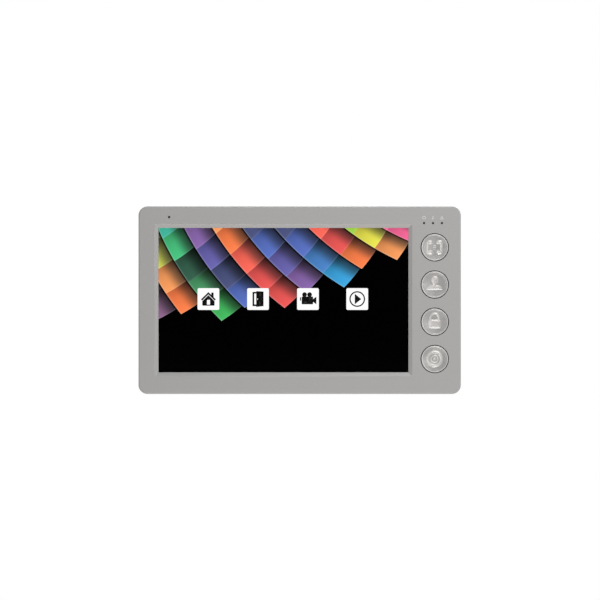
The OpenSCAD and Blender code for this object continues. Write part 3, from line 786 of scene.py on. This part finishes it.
@dataclass
class FrontShell:
    """The painted front bezel with its window, button holes and inner bosses."""

    width: float = 198.4
    height: float = 115.5
    corner: float = 5.6
    front: float = FRONT_DEPTH
    seam: float = 13.5
    wall: float = 2.2
    edge: float = 0.9
    window: tuple[float, float, float, float] = WINDOW
    bevel: float = 2.2
    lip: float = 0.6
    button_x: float = 83.1
    button_z: tuple[float, ...] = (32.5, 9.6, -13.3, -36.2)
    button_hole: float = 8.7
    lamp_x: tuple[float, ...] = LAMP_X
    lamp_z: float = 47.4
    lamp_hole: float = 0.55
    mic: tuple[float, float, float] = (-80.3, 51.1, 0.6)
    bosses: tuple[BossRows, ...] = (
        BossRows((92.4, 0.0, -92.4), (50.6, -52.0), 2.3, 1.2, 13.5),
        BossRows((-62.0, 42.0), (49.4, -51.6), 1.75, 0.85, 16.4),
        BossRows((76.4, 91.0), (21.05, -24.75), 2.0, 0.85, 14.4),
    )
    button_rim: float = 0.1
    small_rim: float = 0.15
    boss_chamfer: float = 0.15

    @property
    def back(self) -> float:
        """Depth of the front wall's inner face."""
        return self.front - self.wall

    def outer_ring(self, inset: float) -> np.ndarray:
        """Give the bezel's outline moved inwards by an inset."""
        return rounded_ring(self.width / 2 - inset, self.height / 2 - inset,
                            max(self.corner - inset, 0.6), 14)

    def window_ring(self, grown: float) -> np.ndarray:
        """Give the window's outline moved outwards by a distance."""
        x, z, width, height = self.window
        return rounded_ring(width / 2 + grown, height / 2 + grown, 0.25 + grown * 0.25, 4, (x, z))

    def holes(self) -> list[tuple[float, float, float, float, int]]:
        """List the round holes.

        Returns:
            For each hole, x, z, radius, rim rounding and steps round it.
        """
        found = [(self.button_x, z, self.button_hole, self.button_rim, 96)
                 for z in self.button_z]
        found += [(x, self.lamp_z, self.lamp_hole, self.small_rim, 24) for x in self.lamp_x]
        found.append((*self.mic, self.small_rim, 24))
        return found

    def rounding(self, size: float, steps: int = 6) -> np.ndarray:
        """Give inset and drop along a quarter circle, from the side wall to the front face."""
        turn = np.linspace(0, np.pi / 2, steps + 1)
        return np.stack([size * (1 - np.cos(turn)), size * (1 - np.sin(turn))], -1)

    def draw_outside(self, surface: Surface) -> None:
        """Sweep the side wall, the seam rim and the rounded front edge round the outline.

        Args:
            surface: The surface to draw on.
        """
        rounds = self.rounding(self.edge, 8)
        profile = [(self.wall, self.back), (self.wall, self.seam), (self.wall - 0.2, self.seam),
                   (0.25, self.seam), (0.07, self.seam + 0.07), (0.0, self.seam + 0.25)]
        profile += [(inset, self.front - drop) for inset, drop in rounds.tolist()]
        rings = [at_depth(self.outer_ring(inset), depth) for inset, depth in profile]
        surface.grid(np.stack(rings), wrap_columns=True)

    def window_profile(self) -> list[tuple[float, float]]:
        """Work out the window's edge, from the wall behind its lip out to the front face.

        Returns:
            Offset from the window and depth at each step.
        """
        lip_depth = self.back + self.lip
        fine = 0.2
        return [(0.0, self.back), (0.0, lip_depth - 0.05), (0.06, lip_depth + 0.05),
                (self.bevel - fine, self.front - fine * 0.85),
                (self.bevel - fine * 0.2, self.front - fine * 0.28),
                (self.bevel + fine * 0.4, self.front - fine * 0.06),
                (self.bevel + fine, self.front)]

    def build(self, palette: Palette) -> bpy.types.Object:
        """Make the bezel and put it in place of the plain one.

        Args:
            palette: Source of the materials.

        Returns:
            The bezel piece.
        """
        surface = Surface()
        self.draw_outside(surface)
        profile = self.window_profile()
        surface.grid(np.stack([at_depth(self.window_ring(grown), depth)
                               for grown, depth in profile]), wrap_columns=True)
        front_holes, back_holes = [], []
        for x, z, radius, rim, steps in self.holes():
            rounds = self.rounding(rim, 4)
            rings = [(radius + inset, self.front - drop) for inset, drop in rounds.tolist()]
            # Hole walls, and the rims of the lamp and mic holes, take the near-black plastic:
            # partly bare moulding, partly painted shade in the holes.
            surface.lathe(x, z, [(radius, self.back), rings[0]], steps, slot=1)
            surface.lathe(x, z, rings, steps, slot=int(rim == self.small_rim))
            front_holes.append(circle(radius + rim, steps, (x, z)))
            back_holes.append(circle(radius, steps, (x, z)))
        surface.sheet(self.outer_ring(self.edge),
                      [self.window_ring(profile[-1][0]), *front_holes], self.front)
        surface.sheet(self.outer_ring(self.wall), [self.window_ring(0.0), *back_holes], self.back)
        sunk = self.back + 0.3
        for rows in self.bosses:
            profile = [(rows.inner, rows.start), (rows.outer - self.boss_chamfer, rows.start),
                       (rows.outer, rows.start + self.boss_chamfer), (rows.outer, sunk),
                       (rows.inner, sunk)]
            for x, z in product(rows.x, rows.z):
                surface.lathe(x, z, profile, 24, True)
        made = surface.piece("bezel_shell", [palette.of(BEZEL_PAINT), palette.of(BARE_PLASTIC_AND_HOLE_SHADE)], 40)
        flat = made.modifiers.new("flat_faces", "WEIGHTED_NORMAL")
        flat.keep_sharp = True
        return place_piece(made, "monitor", "bezel", "front_bezel")


# ---- Buttons ----


@dataclass
class ButtonCap:
    """One round push button with a shallow dish and a sunk symbol."""

    body: str
    symbol: Symbol
    radius: float = 8.25
    edge: float = 0.3
    dish: float = 0.6
    sunk: float = 0.45
    slope: float = 1.7
    ripple: float = 0.008
    ripple_pitch: float = 0.85
    # Share of the face's radius beyond which the lighter metal paints a highlight ring.
    painted_highlight_rim: float = 0.95
    flange_top: float = 2.9
    flange_end: float = 4.2
    bore: float = 6.9
    roof: float = 1.9
    stem: float = 1.6
    resolution: int = 131

    def height(self, p: np.ndarray) -> np.ndarray:
        """Work out how far the face lies below its rim.

        The dish deepens with the square of the way in from the rim, turning marks ripple as a
        cosine of the distance from the middle, a fine groove runs just inside the rim, and the
        symbol sinks over a soft slope inside its own outline.

        Args:
            p: Places of shape (..., 2) from the button's middle.

        Returns:
            The height in millimetres, below nothing inside the rim.
        """
        away = np.hypot(p[..., 0], p[..., 1])
        reach = away / (self.radius - self.edge)
        inside = -self.symbol.distance(p)
        marks = self.ripple * np.cos(2 * np.pi * away / self.ripple_pitch)
        groove = 0.06 * np.exp(-((reach - 0.9) / 0.03) ** 2)
        sunk = self.sunk * np.sqrt(smooth_step(inside / self.slope + 0.02))
        return -self.dish * (1 - reach ** 2) + marks * smooth_step(-inside / 0.3) - groove - sunk

    def face_places(self) -> np.ndarray:
        """Spread a square grid over a disc.

        A point (u, v) of the square goes to u times the root of one less half v squared, and v
        times the root of one less half u squared, so the square's edge becomes the circle.

        Returns:
            Places of shape (resolution, resolution, 2).
        """
        line = np.sin(np.linspace(-0.35, 0.35, self.resolution) * np.pi)
        u, v = np.meshgrid(line / line[-1], line / line[-1])
        disc = np.stack([u * np.sqrt(1 - v * v / 2), v * np.sqrt(1 - u * u / 2)], -1)
        return disc * (self.radius - self.edge)

    def slots(self, places: np.ndarray) -> list[int]:
        """Choose slot 1 for the faces of the symbol and of a painted highlight ring inside the rim,
        and 0 elsewhere.

        Args:
            places: The grid's places from the button's middle.

        Returns:
            The slot of each face.
        """
        middles = (places[:-1, :-1] + places[1:, 1:]) / 2
        away = np.hypot(middles[..., 0], middles[..., 1])
        symbol_and_rim_highlight = ((self.symbol.distance(middles) < 0)
                  | (away > self.painted_highlight_rim * (self.radius - self.edge)))
        return symbol_and_rim_highlight.astype(int).ravel().tolist()

    def build(self, palette: Palette) -> bpy.types.Object:
        """Make the cap and put it in place of the plain one.

        The face's outer ring of points is carried out and down over a quarter circle, down the
        skirt, round the flange, up the bore, under the roof and down the stem to its foot.

        Args:
            palette: Source of the materials.

        Returns:
            The cap piece.
        """
        low, high = (np.array(corner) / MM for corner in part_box(self.body))
        x, z = (low[0] + high[0]) / 2, (low[2] + high[2]) / 2
        middle = np.array([x, z])
        front, foot = -low[1], -high[1]
        places = self.face_places()
        depth = self.height(places)
        depth += front - depth.max()
        surface = Surface()
        surface.grid(at_depth(places + middle, depth))
        surface.slots = self.slots(places)
        last = self.resolution - 1
        numbers = np.arange(self.resolution ** 2).reshape(self.resolution, self.resolution)
        rim = np.concatenate([numbers[0, :-1], numbers[:-1, last], numbers[last, :0:-1],
                              numbers[:0:-1, 0]])
        ring = places.reshape(-1, 2)[rim]
        rim_depth = depth.reshape(-1)[rim]
        unit = ring / np.hypot(ring[:, 0], ring[:, 1])[:, None]
        turn = np.linspace(np.pi / 2, 0, 7)[1:]
        rounds = [(self.radius - self.edge + self.edge * math.cos(a), self.edge * (1 - math.sin(a)))
                  for a in turn.tolist()]
        flange = (high[0] - low[0]) / 2
        top, end, roof = front - self.flange_top, front - self.flange_end, front - self.roof
        inner = [(self.radius, top), (flange, top), (flange, end), (self.bore, end),
                 (self.bore, roof), (self.stem, roof), (self.stem, foot), (1e-5, foot)]
        rings = [at_depth(ring + middle, rim_depth)]
        rings += [at_depth(unit * reach + middle, rim_depth - drop) for reach, drop in rounds]
        rings += [at_depth(unit * reach + middle, level) for reach, level in inner]
        # The rim and the upper part of the rounded edge take the lighter metal as a painted
        # highlight.
        surface.grid(np.stack(rings[:5]), 1, wrap_columns=True)
        # From the lower edge down, the skirt takes the near-black finish: partly dark plastic,
        # partly painted shade in the gap round the cap.
        surface.grid(np.stack(rings[4:]), 2, wrap_columns=True)
        metals = [palette.of(replace(metal, name=f"{metal.name}_{self.body}", centre=(x, z)))
                  for metal in (PEARL_METAL, SYMBOL_AND_RIM_HIGHLIGHT_METAL)]
        made = surface.piece(f"{self.body}_cap", [*metals, palette.of(CAP_SKIRT_AND_GAP_SHADE)], 50)
        return place_piece(made, self.body, "button_pearl", self.body)


# ---- Screen ----

HUES: dict[str, Colour] = {
    "plum": (0.55, 0.40, 0.54), "mauve": (0.46, 0.35, 0.47), "lime": (0.80, 0.82, 0.35),
    "apricot": (0.98, 0.62, 0.38), "orange": (1.00, 0.51, 0.31), "teal": (0.27, 0.70, 0.60),
    "mint": (0.30, 0.76, 0.50), "pine": (0.23, 0.38, 0.31), "leaf": (0.32, 0.62, 0.42),
    "emerald": (0.28, 0.72, 0.38), "purple": (0.54, 0.41, 0.67), "indigo": (0.42, 0.40, 0.68),
    "slate": (0.31, 0.34, 0.50), "blue": (0.36, 0.45, 0.76), "coral": (1.00, 0.42, 0.36),
    "red": (0.93, 0.36, 0.35), "azure": (0.31, 0.52, 0.78), "sky": (0.26, 0.65, 0.88),
    "yellow": (0.92, 0.90, 0.33), "green": (0.62, 0.82, 0.30), "pink": (0.98, 0.42, 0.60),
}


@dataclass(frozen=True)
class Ribbon:
    """One ribbon of coloured tiles: its hues from the top down, and how far its first runs."""

    hues: tuple[str, ...]
    start: float


@dataclass(frozen=True)
class TileShade:
    """How strongly a tile darkens, dulls and gleams, as shares of its full light."""

    side: float = 0.5
    crease: float = 0.45
    upper: float = 0.25
    base: float = 0.86
    foot: float = 0.16
    dulling: float = 0.4
    edge_gleam: float = 0.24
    foot_gleam: float = 0.112
    gleam_width: float = 0.03

    def light(self, across: np.ndarray, down: np.ndarray) -> np.ndarray:
        """Work out the light that falls on a tile.

        The side and crease shadows rise by eased steps towards the next ribbon, the upper
        shadow towards the upper end and the next ribbon, and the light grows evenly downwards.

        Args:
            across: Share of the way from the ribbon's edge to the next ribbon's.
            down: Share of the way from the tile's upper end to its lower end.

        Returns:
            The light, 1 where it is full.
        """
        shadow = (self.side * smooth_step((across - 0.3) / 0.66)
                  + self.crease * smooth_step((across - 0.9) / 0.1))
        upper = self.upper * smooth_step((0.45 - down) / 0.45) * across
        return (1 - shadow) * (self.base + self.foot * down) * (1 - upper)

    def gleam(self, across: np.ndarray, down: np.ndarray) -> np.ndarray:
        """Give the gleam of the edge and of the lower end, each a narrow bell curve."""
        return (self.edge_gleam * np.exp(-(across / self.gleam_width) ** 2)
                + self.foot_gleam * np.exp(-((1 - down) / self.gleam_width) ** 2))


@dataclass
class Picture:
    """The lit picture: a fan of tiled ribbons on black, and four white menu icons."""

    window: tuple[float, float, float, float] = WINDOW
    tile: float = 15.6
    first: float = -2.0
    icon_x: tuple[float, ...] = (-56.3, -25.7, 5.1, 35.5)
    icon_z: float = 0.7
    icon_half: float = 6.7
    steps: int = 14
    spread: tuple[float, float, float] = (-0.4, 15.6, 0.6)
    fall: tuple[float, float, float] = (56.5, 4.05, 0.004)
    sag: float = 12.0
    run: float = 64.0
    slant: tuple[float, float] = (14.0, 1.1)
    slant_fall: float = 54.0
    overlap: tuple[float, float] = (0.7, 0.6)
    film: float = 0.02
    shade: TileShade = TileShade()
    ribbons: tuple[Ribbon, ...] = (
        Ribbon(("mauve", "mauve", "plum", "mauve", "plum"), 0.8),
        Ribbon(("green", "green", "lime", "apricot", "orange"), -1.8),
        Ribbon(("teal", "mint", "pine", "leaf", "emerald"), 7.0),
        Ribbon(("purple", "indigo", "slate", "blue"), 15.0),
        Ribbon(("apricot", "orange", "coral", "red", "red"), 4.0),
        Ribbon(("slate", "blue", "indigo", "purple"), 9.0),
        Ribbon(("slate", "blue", "azure", "sky"), 9.5),
        Ribbon(("coral", "red", "orange"), 10.0),
        Ribbon(("green", "yellow", "apricot"), 6.5),
        Ribbon(("pink", "pink", "pink"), 3.0),
    )

    def edge_place(self, order: np.ndarray, along: np.ndarray) -> np.ndarray:
        """Give a place in the fan from the ribbon's order number and the way along it.

        A ribbon starts on the window's top edge, further right by a quadratic of its order, and
        runs down to the right at an angle that falls with the order and, far out, with its
        fourth power. A parabola across that direction makes it sag towards the lower left.

        Args:
            order: Order number, with fractions for places across a ribbon.
            along: Distance from the top edge in millimetres.

        Returns:
            Places (x, z) in the shared frame.
        """
        x, z, width, height = self.window
        gap, step, growth = self.spread
        steepest, turn, curl = self.fall
        start = x - width / 2 + gap + step * order + growth * order ** 2
        angle = np.radians(steepest - turn * order - curl * order ** 4)
        sag = self.sag * along / self.run * (1 - along / self.run)
        return np.stack([start + along * np.cos(angle) - sag * np.sin(angle),
                         z + height / 2 - along * np.sin(angle) - sag * np.cos(angle)], -1)

    def tile_colours(self, hue: str, across: np.ndarray, down: np.ndarray) -> np.ndarray:
        """Shade one tile: its hue dulls towards the next ribbon, then darkens and gleams.

        Args:
            hue: Name of the tile's hue.
            across: Share of the way from the ribbon's edge to the next ribbon's.
            down: Share of the way from the tile's upper end to its lower end.

        Returns:
            Linear colours of shape (..., 3).
        """
        base = np.array(HUES[hue])
        dulled = (self.shade.dulling * smooth_step((across - 0.35) / 0.65))[..., None]
        light = self.shade.light(across, down)[..., None]
        gleam = self.shade.gleam(across, down)[..., None]
        shaded = (base + (base.mean() * 0.8 - base) * dulled) * light
        return to_linear(shaded + (1 - shaded) * gleam)

    def draw_ribbons(self, surface: Surface, depth: float) -> None:
        """Draw every tile as a grid across and along its ribbon, finer near its edges.

        Args:
            surface: The surface to draw on.
            depth: Depth of the tiles.
        """
        line = np.linspace(0, 1, self.steps)
        across, down = np.meshgrid(np.unique(np.concatenate([line, [0.02, 0.04, 0.95, 0.98]])),
                                   np.unique(np.concatenate([line, [0.96, 0.98]])))
        for number, ribbon in enumerate(self.ribbons):
            for step, hue in enumerate(ribbon.hues):
                order = number + self.first + across
                slant = ((self.slant[0] + self.slant[1] * order)
                         * np.cos(np.radians(self.slant_fall - self.fall[1] * order)))
                along = ribbon.start + self.tile * (step - 1 + down) - slant * across
                places = self.edge_place(order, along)
                surface.grid(at_depth(places, depth), colours=self.tile_colours(hue, across, down))

    def clip(self, mesh: bpy.types.Mesh) -> None:
        """Cut the sheet away outside the window with four planes, and face it forwards.

        Args:
            mesh: The sheet's mesh.
        """
        x, z, width, height = self.window
        work = bmesh.new()
        work.from_mesh(mesh)
        reach_x, reach_z = width / 2 + self.overlap[0], height / 2 + self.overlap[1]
        for side, reach in (((1, 0), reach_x), ((-1, 0), reach_x),
                            ((0, 1), reach_z), ((0, -1), reach_z)):
            point = Vector(((x + side[0] * reach) * MM, 0, (z + side[1] * reach) * MM))
            everything = [*work.verts, *work.edges, *work.faces]
            bmesh.ops.bisect_plane(work, geom=everything, plane_co=point,
                                   plane_no=(side[0], 0, side[1]), clear_outer=True)
        work.normal_update()
        backwards = [face for face in work.faces if face.normal.y > 0]
        bmesh.ops.reverse_faces(work, faces=backwards)
        work.to_mesh(mesh)
        work.free()

    def build(self, palette: Palette) -> list[bpy.types.Object]:
        """Make the panel, the tiled sheet and the icons.

        Args:
            palette: Source of the materials.

        Returns:
            The three pieces.
        """
        low, high = (np.array(corner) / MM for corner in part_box("lcd_panel"))
        front = -low[1]
        half = (high - low) / 2
        middle = ((low[0] + high[0]) / 2, (low[2] + high[2]) / 2)
        panel = Surface()
        profile = [(0.0, -high[1]), (0.0, front - 0.1), (0.03, front - 0.03), (0.1, front)]
        rings = [rounded_ring(half[0] - inset, half[2] - inset, 0.5, 4, middle)
                 for inset, _ in profile]
        panel.grid(np.stack([at_depth(ring, depth) for ring, (_, depth) in zip(rings, profile)]),
                   wrap_columns=True)
        panel.sheet(rings[-1], [], front)
        panel.sheet(rings[0], [], -high[1])
        glass = panel.piece("screen_panel", [palette.of(SLOT_FINISHES["screen_glass"])])
        place_piece(glass, "monitor", "screen_glass", "lcd_panel")

        tiles = Surface()
        self.draw_ribbons(tiles, front + 0.03)
        sheet = tiles.piece("picture_tiles", [palette.of(PICTURE_GLOW)], 180)
        self.clip(sheet.data)
        solid = sheet.modifiers.new("film", "SOLIDIFY")
        solid.thickness = self.film * MM
        solid.offset = -1
        place_piece(sheet, "monitor", "screen_glass")

        icons = MenuIcons(self.icon_x, self.icon_z, self.icon_half, front + 0.04)
        return [glass, sheet, icons.build(palette)]


@dataclass
class MenuIcons:
    """Four white squares on the screen, each with a plain black sign."""

    x: tuple[float, ...]
    z: float
    half: float
    depth: float
    thick: float = 0.02
    white: Colour = (1.0, 1.0, 1.0)
    black: Colour = (0.004, 0.004, 0.004)

    def sign(self, surface: Surface, places: np.ndarray, centre: float, level: int = 1,
             white: bool = False) -> None:
        """Add one filled outline to an icon.

        Args:
            surface: The surface to draw on.
            places: Corners from the icon's middle.
            centre: Sideways place of the icon.
            level: Layer above the white square.
            white: Whether the outline is white rather than black.
        """
        base = self.depth + level * self.thick
        surface.prism(np.asarray(places, float) + np.array([centre, self.z]), base,
                      base + self.thick, colour=self.white if white else self.black)

    def house(self, surface: Surface, x: float) -> None:
        """Draw a roof line, a chimney, a gabled wall and a white door.

        Args:
            surface: The surface to draw on.
            x: Sideways place of the icon's middle.
        """
        self.sign(surface, [(-4.6, -0.2), (-3.9, -1.0), (0, 2.85), (3.9, -1.0), (4.6, -0.2),
                            (0, 4.3)], x)
        self.sign(surface, rectangle(1.8, 3.2, 1.0, 4.0), x)
        self.sign(surface, [(-3.8, -3.7), (-3.4, -4.1), (3.4, -4.1), (3.8, -3.7), (3.8, -1.35),
                            (0, 2.4), (-3.8, -1.35)], x)
        self.sign(surface, rounded_ring(0.95, 1.5, 0.3, 3, (0.05, -2.0)), x, 2, True)

    def door(self, surface: Surface, x: float) -> None:
        """Draw a door frame, its opening and a leaf that stands open.

        Args:
            surface: The surface to draw on.
            x: Sideways place of the icon's middle.
        """
        self.sign(surface, rectangle(-3.4, 2.9, -4.4, 4.4), x)
        self.sign(surface, rectangle(-2.35, 0.5, -3.3, 3.4), x, 2, True)
        self.sign(surface, [(-1.1, -4.9), (3.4, -4.4), (3.4, 4.6), (-1.1, 4.9)], x, 3)
        self.sign(surface, circle(0.3, 12, (-0.3, 0.0)), x, 4, True)

    def camera(self, surface: Surface, x: float) -> None:
        """Draw two reels, a body, a lens cone and a small handle.

        Args:
            surface: The surface to draw on.
            x: Sideways place of the icon's middle.
        """
        for reel in (-2.1, 1.0):
            self.sign(surface, circle(1.45, 28, (reel, 2.75)), x)
        self.sign(surface, rounded_ring(3.5, 2.4, 0.4, 3, (-0.35, -0.85)), x)
        self.sign(surface, [(3.1, -1.7), (5.2, -3.3), (5.2, 1.5), (3.1, -0.1)], x)
        self.sign(surface, rectangle(-4.9, -4.25, -1.0, 1.1), x)

    def play(self, surface: Surface, x: float) -> None:
        """Draw a triangle inside a thin circle.

        Args:
            surface: The surface to draw on.
            x: Sideways place of the icon's middle.
        """
        base = self.depth + self.thick
        surface.band(circle(4.85, 56, (x, self.z)), circle(4.05, 56, (x, self.z)), base,
                     base + self.thick, colour=self.black)
        self.sign(surface, [(-1.5, -3.2), (2.5, 0.0), (-1.5, 3.2)], x)

    def build(self, palette: Palette) -> bpy.types.Object:
        """Make all four icons as one piece of thin closed plates.

        Args:
            palette: Source of the materials.

        Returns:
            The icon piece.
        """
        surface = Surface()
        for x, draw in zip(self.x, (self.house, self.door, self.camera, self.play)):
            surface.prism(rounded_ring(self.half, self.half, 0.9, 6, (x, self.z)), self.depth,
                          self.depth + self.thick, colour=self.white)
            draw(surface, x)
        made = surface.piece("menu_icons", [palette.of(PICTURE_GLOW)], 180)
        return place_piece(made, "monitor", "screen_glass")


# ---- Printed marks and rear label ----


@dataclass
class PrintedMarks:
    """Small pale signs printed above the three status lamps."""

    x: tuple[float, ...] = LAMP_X
    z: float = 50.7
    front: float = FRONT_DEPTH
    thick: float = 0.03

    def build(self, palette: Palette) -> bpy.types.Object:
        """Print a ring, an upright dash with a foot and a triangle.

        Args:
            palette: Source of the materials.

        Returns:
            The mark piece.
        """
        surface = Surface()
        low, high = self.front - 0.01, self.front + self.thick
        left, centre, right = self.x
        surface.band(circle(1.05, 32, (left, self.z)), circle(0.72, 32, (left, self.z)), low, high)
        dash = [(-0.7, -0.9), (0.18, -0.9), (0.18, 1.1), (-0.18, 1.1), (-0.18, -0.55),
                (-0.7, -0.55)]
        surface.prism(np.array(dash) + np.array([centre, self.z]), low, high)
        outer = np.array([(-1.0, -0.9), (1.0, -0.9), (0.0, 1.1)])
        surface.band(outer + np.array([right, self.z]),
                     outer * 0.62 + np.array([right, self.z - 0.08]), low, high)
        made = surface.piece("printed_marks", [palette.of(MARK_INK)], 30)
        return place_piece(made, "monitor", "bezel")


@dataclass
class RearLabel:
    """Blank rating plate: a white film with a thin frame and empty fields, without lettering."""

    fields: int = 3
    line: float = 0.2
    field_half: float = 2.0
    margin: float = 3.0
    print_height: float = 0.04

    def build(self, palette: Palette) -> bpy.types.Object:
        """Make the label in place of the plain one.

        Args:
            palette: Source of the materials.

        Returns:
            The label piece.
        """
        low, high = (np.array(corner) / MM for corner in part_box("rear_label"))
        middle = ((low[0] + high[0]) / 2, (low[2] + high[2]) / 2)
        half_w, half_h = (high[0] - low[0]) / 2, (high[2] - low[2]) / 2
        near, far = -high[1], -low[1]
        surface = Surface()
        top = near + self.print_height
        surface.prism(rounded_ring(half_w, half_h, 1.2, 5, middle), near + 0.03, far)
        surface.band(rounded_ring(half_w - 1, half_h - 1, 0.8, 5, middle),
                     rounded_ring(half_w - 1.3, half_h - 1.3, 0.6, 5, middle), near, top, 1)
        for place in np.linspace(-0.54, 0.54, self.fields) * half_h:
            rings = [rectangle(middle[0] - wide, middle[0] + wide, middle[1] + place - tall,
                               middle[1] + place + tall)
                     for wide, tall in ((half_w - self.margin, self.field_half),
                                        (half_w - self.margin - self.line,
                                         self.field_half - self.line))]
            surface.band(rings[0], rings[1], near, top, 1)
        made = surface.piece("rating_plate", [palette.of(SLOT_FINISHES["white_film"]),
                                              palette.of(LABEL_INK)], 30)
        return place_piece(made, "monitor", "white_film", "rear_label")


# ---- Carried-over nodes ----


class CarriedNodes:
    """The frame's own solids that stay, each dressed in the finish of its slot."""

    def dress(self, palette: Palette) -> None:
        """Give every node the material of the finish slot that the record names.

        Args:
            palette: Source of the materials.
        """
        for part in frame["record"]["subparts"]:
            node = frame["nodes"][part["node"]]
            material = palette.of(SLOT_FINISHES[part["material_slot"]])
            node.data.materials.clear()
            node.data.materials.append(material)


# ---- Studio ----


@dataclass(frozen=True)
class SoftLight:
    """A square soft light: its place and side in metres, its power in watts and its warmth."""

    name: str
    place: tuple[float, float, float]
    size: float
    power: float
    warmth: float

    def hang(self) -> None:
        """Hang the light so that it faces the monitor."""
        data = bpy.data.lights.new(self.name, "AREA")
        data.energy, data.size, data.color = self.power, self.size, tone(1.0, self.warmth)
        lamp = bpy.data.objects.new(self.name, data)
        lamp.location = self.place
        lamp.rotation_euler = (-Vector(self.place)).to_track_quat("-Z", "Y").to_euler()
        bpy.context.scene.collection.objects.link(lamp)


@dataclass
class Studio:
    """Camera, soft lights, surroundings and a pale floor."""

    lens: float = 100.0
    sensor: float = 36.0
    eye: tuple[float, float, float] = (0.0002, -1.0477, 0.0001)
    lights: tuple[SoftLight, ...] = (
        SoftLight("key_light", (0.12, -0.36, 0.5), 0.25, 2.0, 0.0),
        SoftLight("side_light", (0.55, -0.75, 0.1), 0.25, 1.7, 0.02),
        SoftLight("under_light", (0.0, -0.6, -0.75), 0.5, 6.8, 0.03),
        SoftLight("back_light", (0.3, 0.9, 0.8), 0.7, 8.0, 0.0),
    )
    room_light: float = 0.55
    lean: tuple[float, float, float] = (0.12, 0.0, 0.3)
    dark_wall: float = 0.03
    pale_wall: float = 0.85
    wall_blend: tuple[float, float] = (0.02, 0.22)
    floor_half: float = 12000.0
    floor_back: float = 3900.0
    floor_z: float = -1000.0

    def camera(self) -> None:
        """Stand the camera straight in front of the bezel."""
        data = bpy.data.cameras.new("studio_camera")
        data.lens, data.sensor_width = self.lens, self.sensor
        data.clip_start, data.clip_end = 0.01, 20.0
        view = bpy.data.objects.new("studio_camera", data)
        view.location = self.eye
        view.rotation_euler = (math.radians(90), 0, 0)
        bpy.context.scene.collection.objects.link(view)
        bpy.context.scene.camera = view

    def surroundings(self) -> None:
        """Surround the scene with white to the eye, and with a soft room to the surfaces.

        The room's brightness falls smoothly towards the place where the viewer stands, as in a
        studio where the wall behind the camera is dark, and rises a little to the right and
        upwards.
        """
        world = bpy.data.worlds.new("studio")
        bpy.context.scene.world = world
        world.use_nodes = True
        world.node_tree.nodes.clear()
        sheet = NodeSheet(world.node_tree)
        way = sheet.node("ShaderNodeTexCoord", {}).outputs["Generated"]
        axes = sheet.node("ShaderNodeSeparateXYZ", {"Vector": way})
        share = sheet.node("ShaderNodeMapRange", {"Value": axes.outputs["Y"], "From Min": -1.0})
        walls = sheet.ramp(share.outputs["Result"], tone(self.dark_wall), tone(self.pale_wall),
                           *self.wall_blend)
        lean = sheet.node("ShaderNodeVectorMath", {0: way, 1: self.lean}, operation="DOT_PRODUCT")
        total = sheet.node("ShaderNodeMath", {0: lean.outputs["Value"], 1: self.room_light})
        room = sheet.node("ShaderNodeBackground", {"Color": walls,
                                                   "Strength": total.outputs["Value"]})
        white = sheet.node("ShaderNodeBackground", {"Color": (1, 1, 1, 1)})
        seen = sheet.node("ShaderNodeLightPath", {}).outputs["Is Camera Ray"]
        mix = sheet.node("ShaderNodeMixShader", {"Fac": seen, 1: room.outputs["Background"],
                                                 2: white.outputs["Background"]})
        sheet.node("ShaderNodeOutputWorld", {"Surface": mix.outputs["Shader"]})

    def floor(self, palette: Palette) -> None:
        """Lay a plain pale floor far below the monitor.

        Args:
            palette: Source of the materials.
        """
        surface = Surface()
        x, y = np.meshgrid(np.linspace(-self.floor_half, self.floor_half, 3),
                           np.linspace(-self.floor_half, self.floor_back, 3))
        surface.grid(np.stack([x, y, np.full_like(x, self.floor_z)], -1))
        pale = Finish("pale_floor", tone(0.85), Pattern.MOTTLE, roughness=0.8, contrast=0.01,
                      cells=40, specular=0.1, glow=0.35)
        made = surface.piece("floor", [palette.of(pale)])
        made.visible_diffuse = made.visible_glossy = False

    def build(self, palette: Palette) -> None:
        """Set up the camera, the surroundings, the lights and the floor.

        Args:
            palette: Source of the materials.
        """
        bpy.context.scene.view_settings.view_transform = "Standard"
        self.camera()
        self.surroundings()
        for light in self.lights:
            light.hang()
        self.floor(palette)


def main() -> None:
    """Build every sub-assembly in order and log each piece."""
    logging.basicConfig(level=logging.INFO, format="%(message)s")
    palette = Palette()
    Studio().build(palette)
    CarriedNodes().dress(palette)
    FrontShell().build(palette)
    for body, symbol in (("answer_button", Symbol.HANDSETS), ("intercom_button", Symbol.PERSON),
                         ("unlock_button", Symbol.PADLOCK), ("monitor_button", Symbol.EYE)):
        ButtonCap(body, symbol).build(palette)
    Picture().build(palette)
    PrintedMarks().build(palette)
    RearLabel().build(palette)


if __name__ == "__main__":
    main()
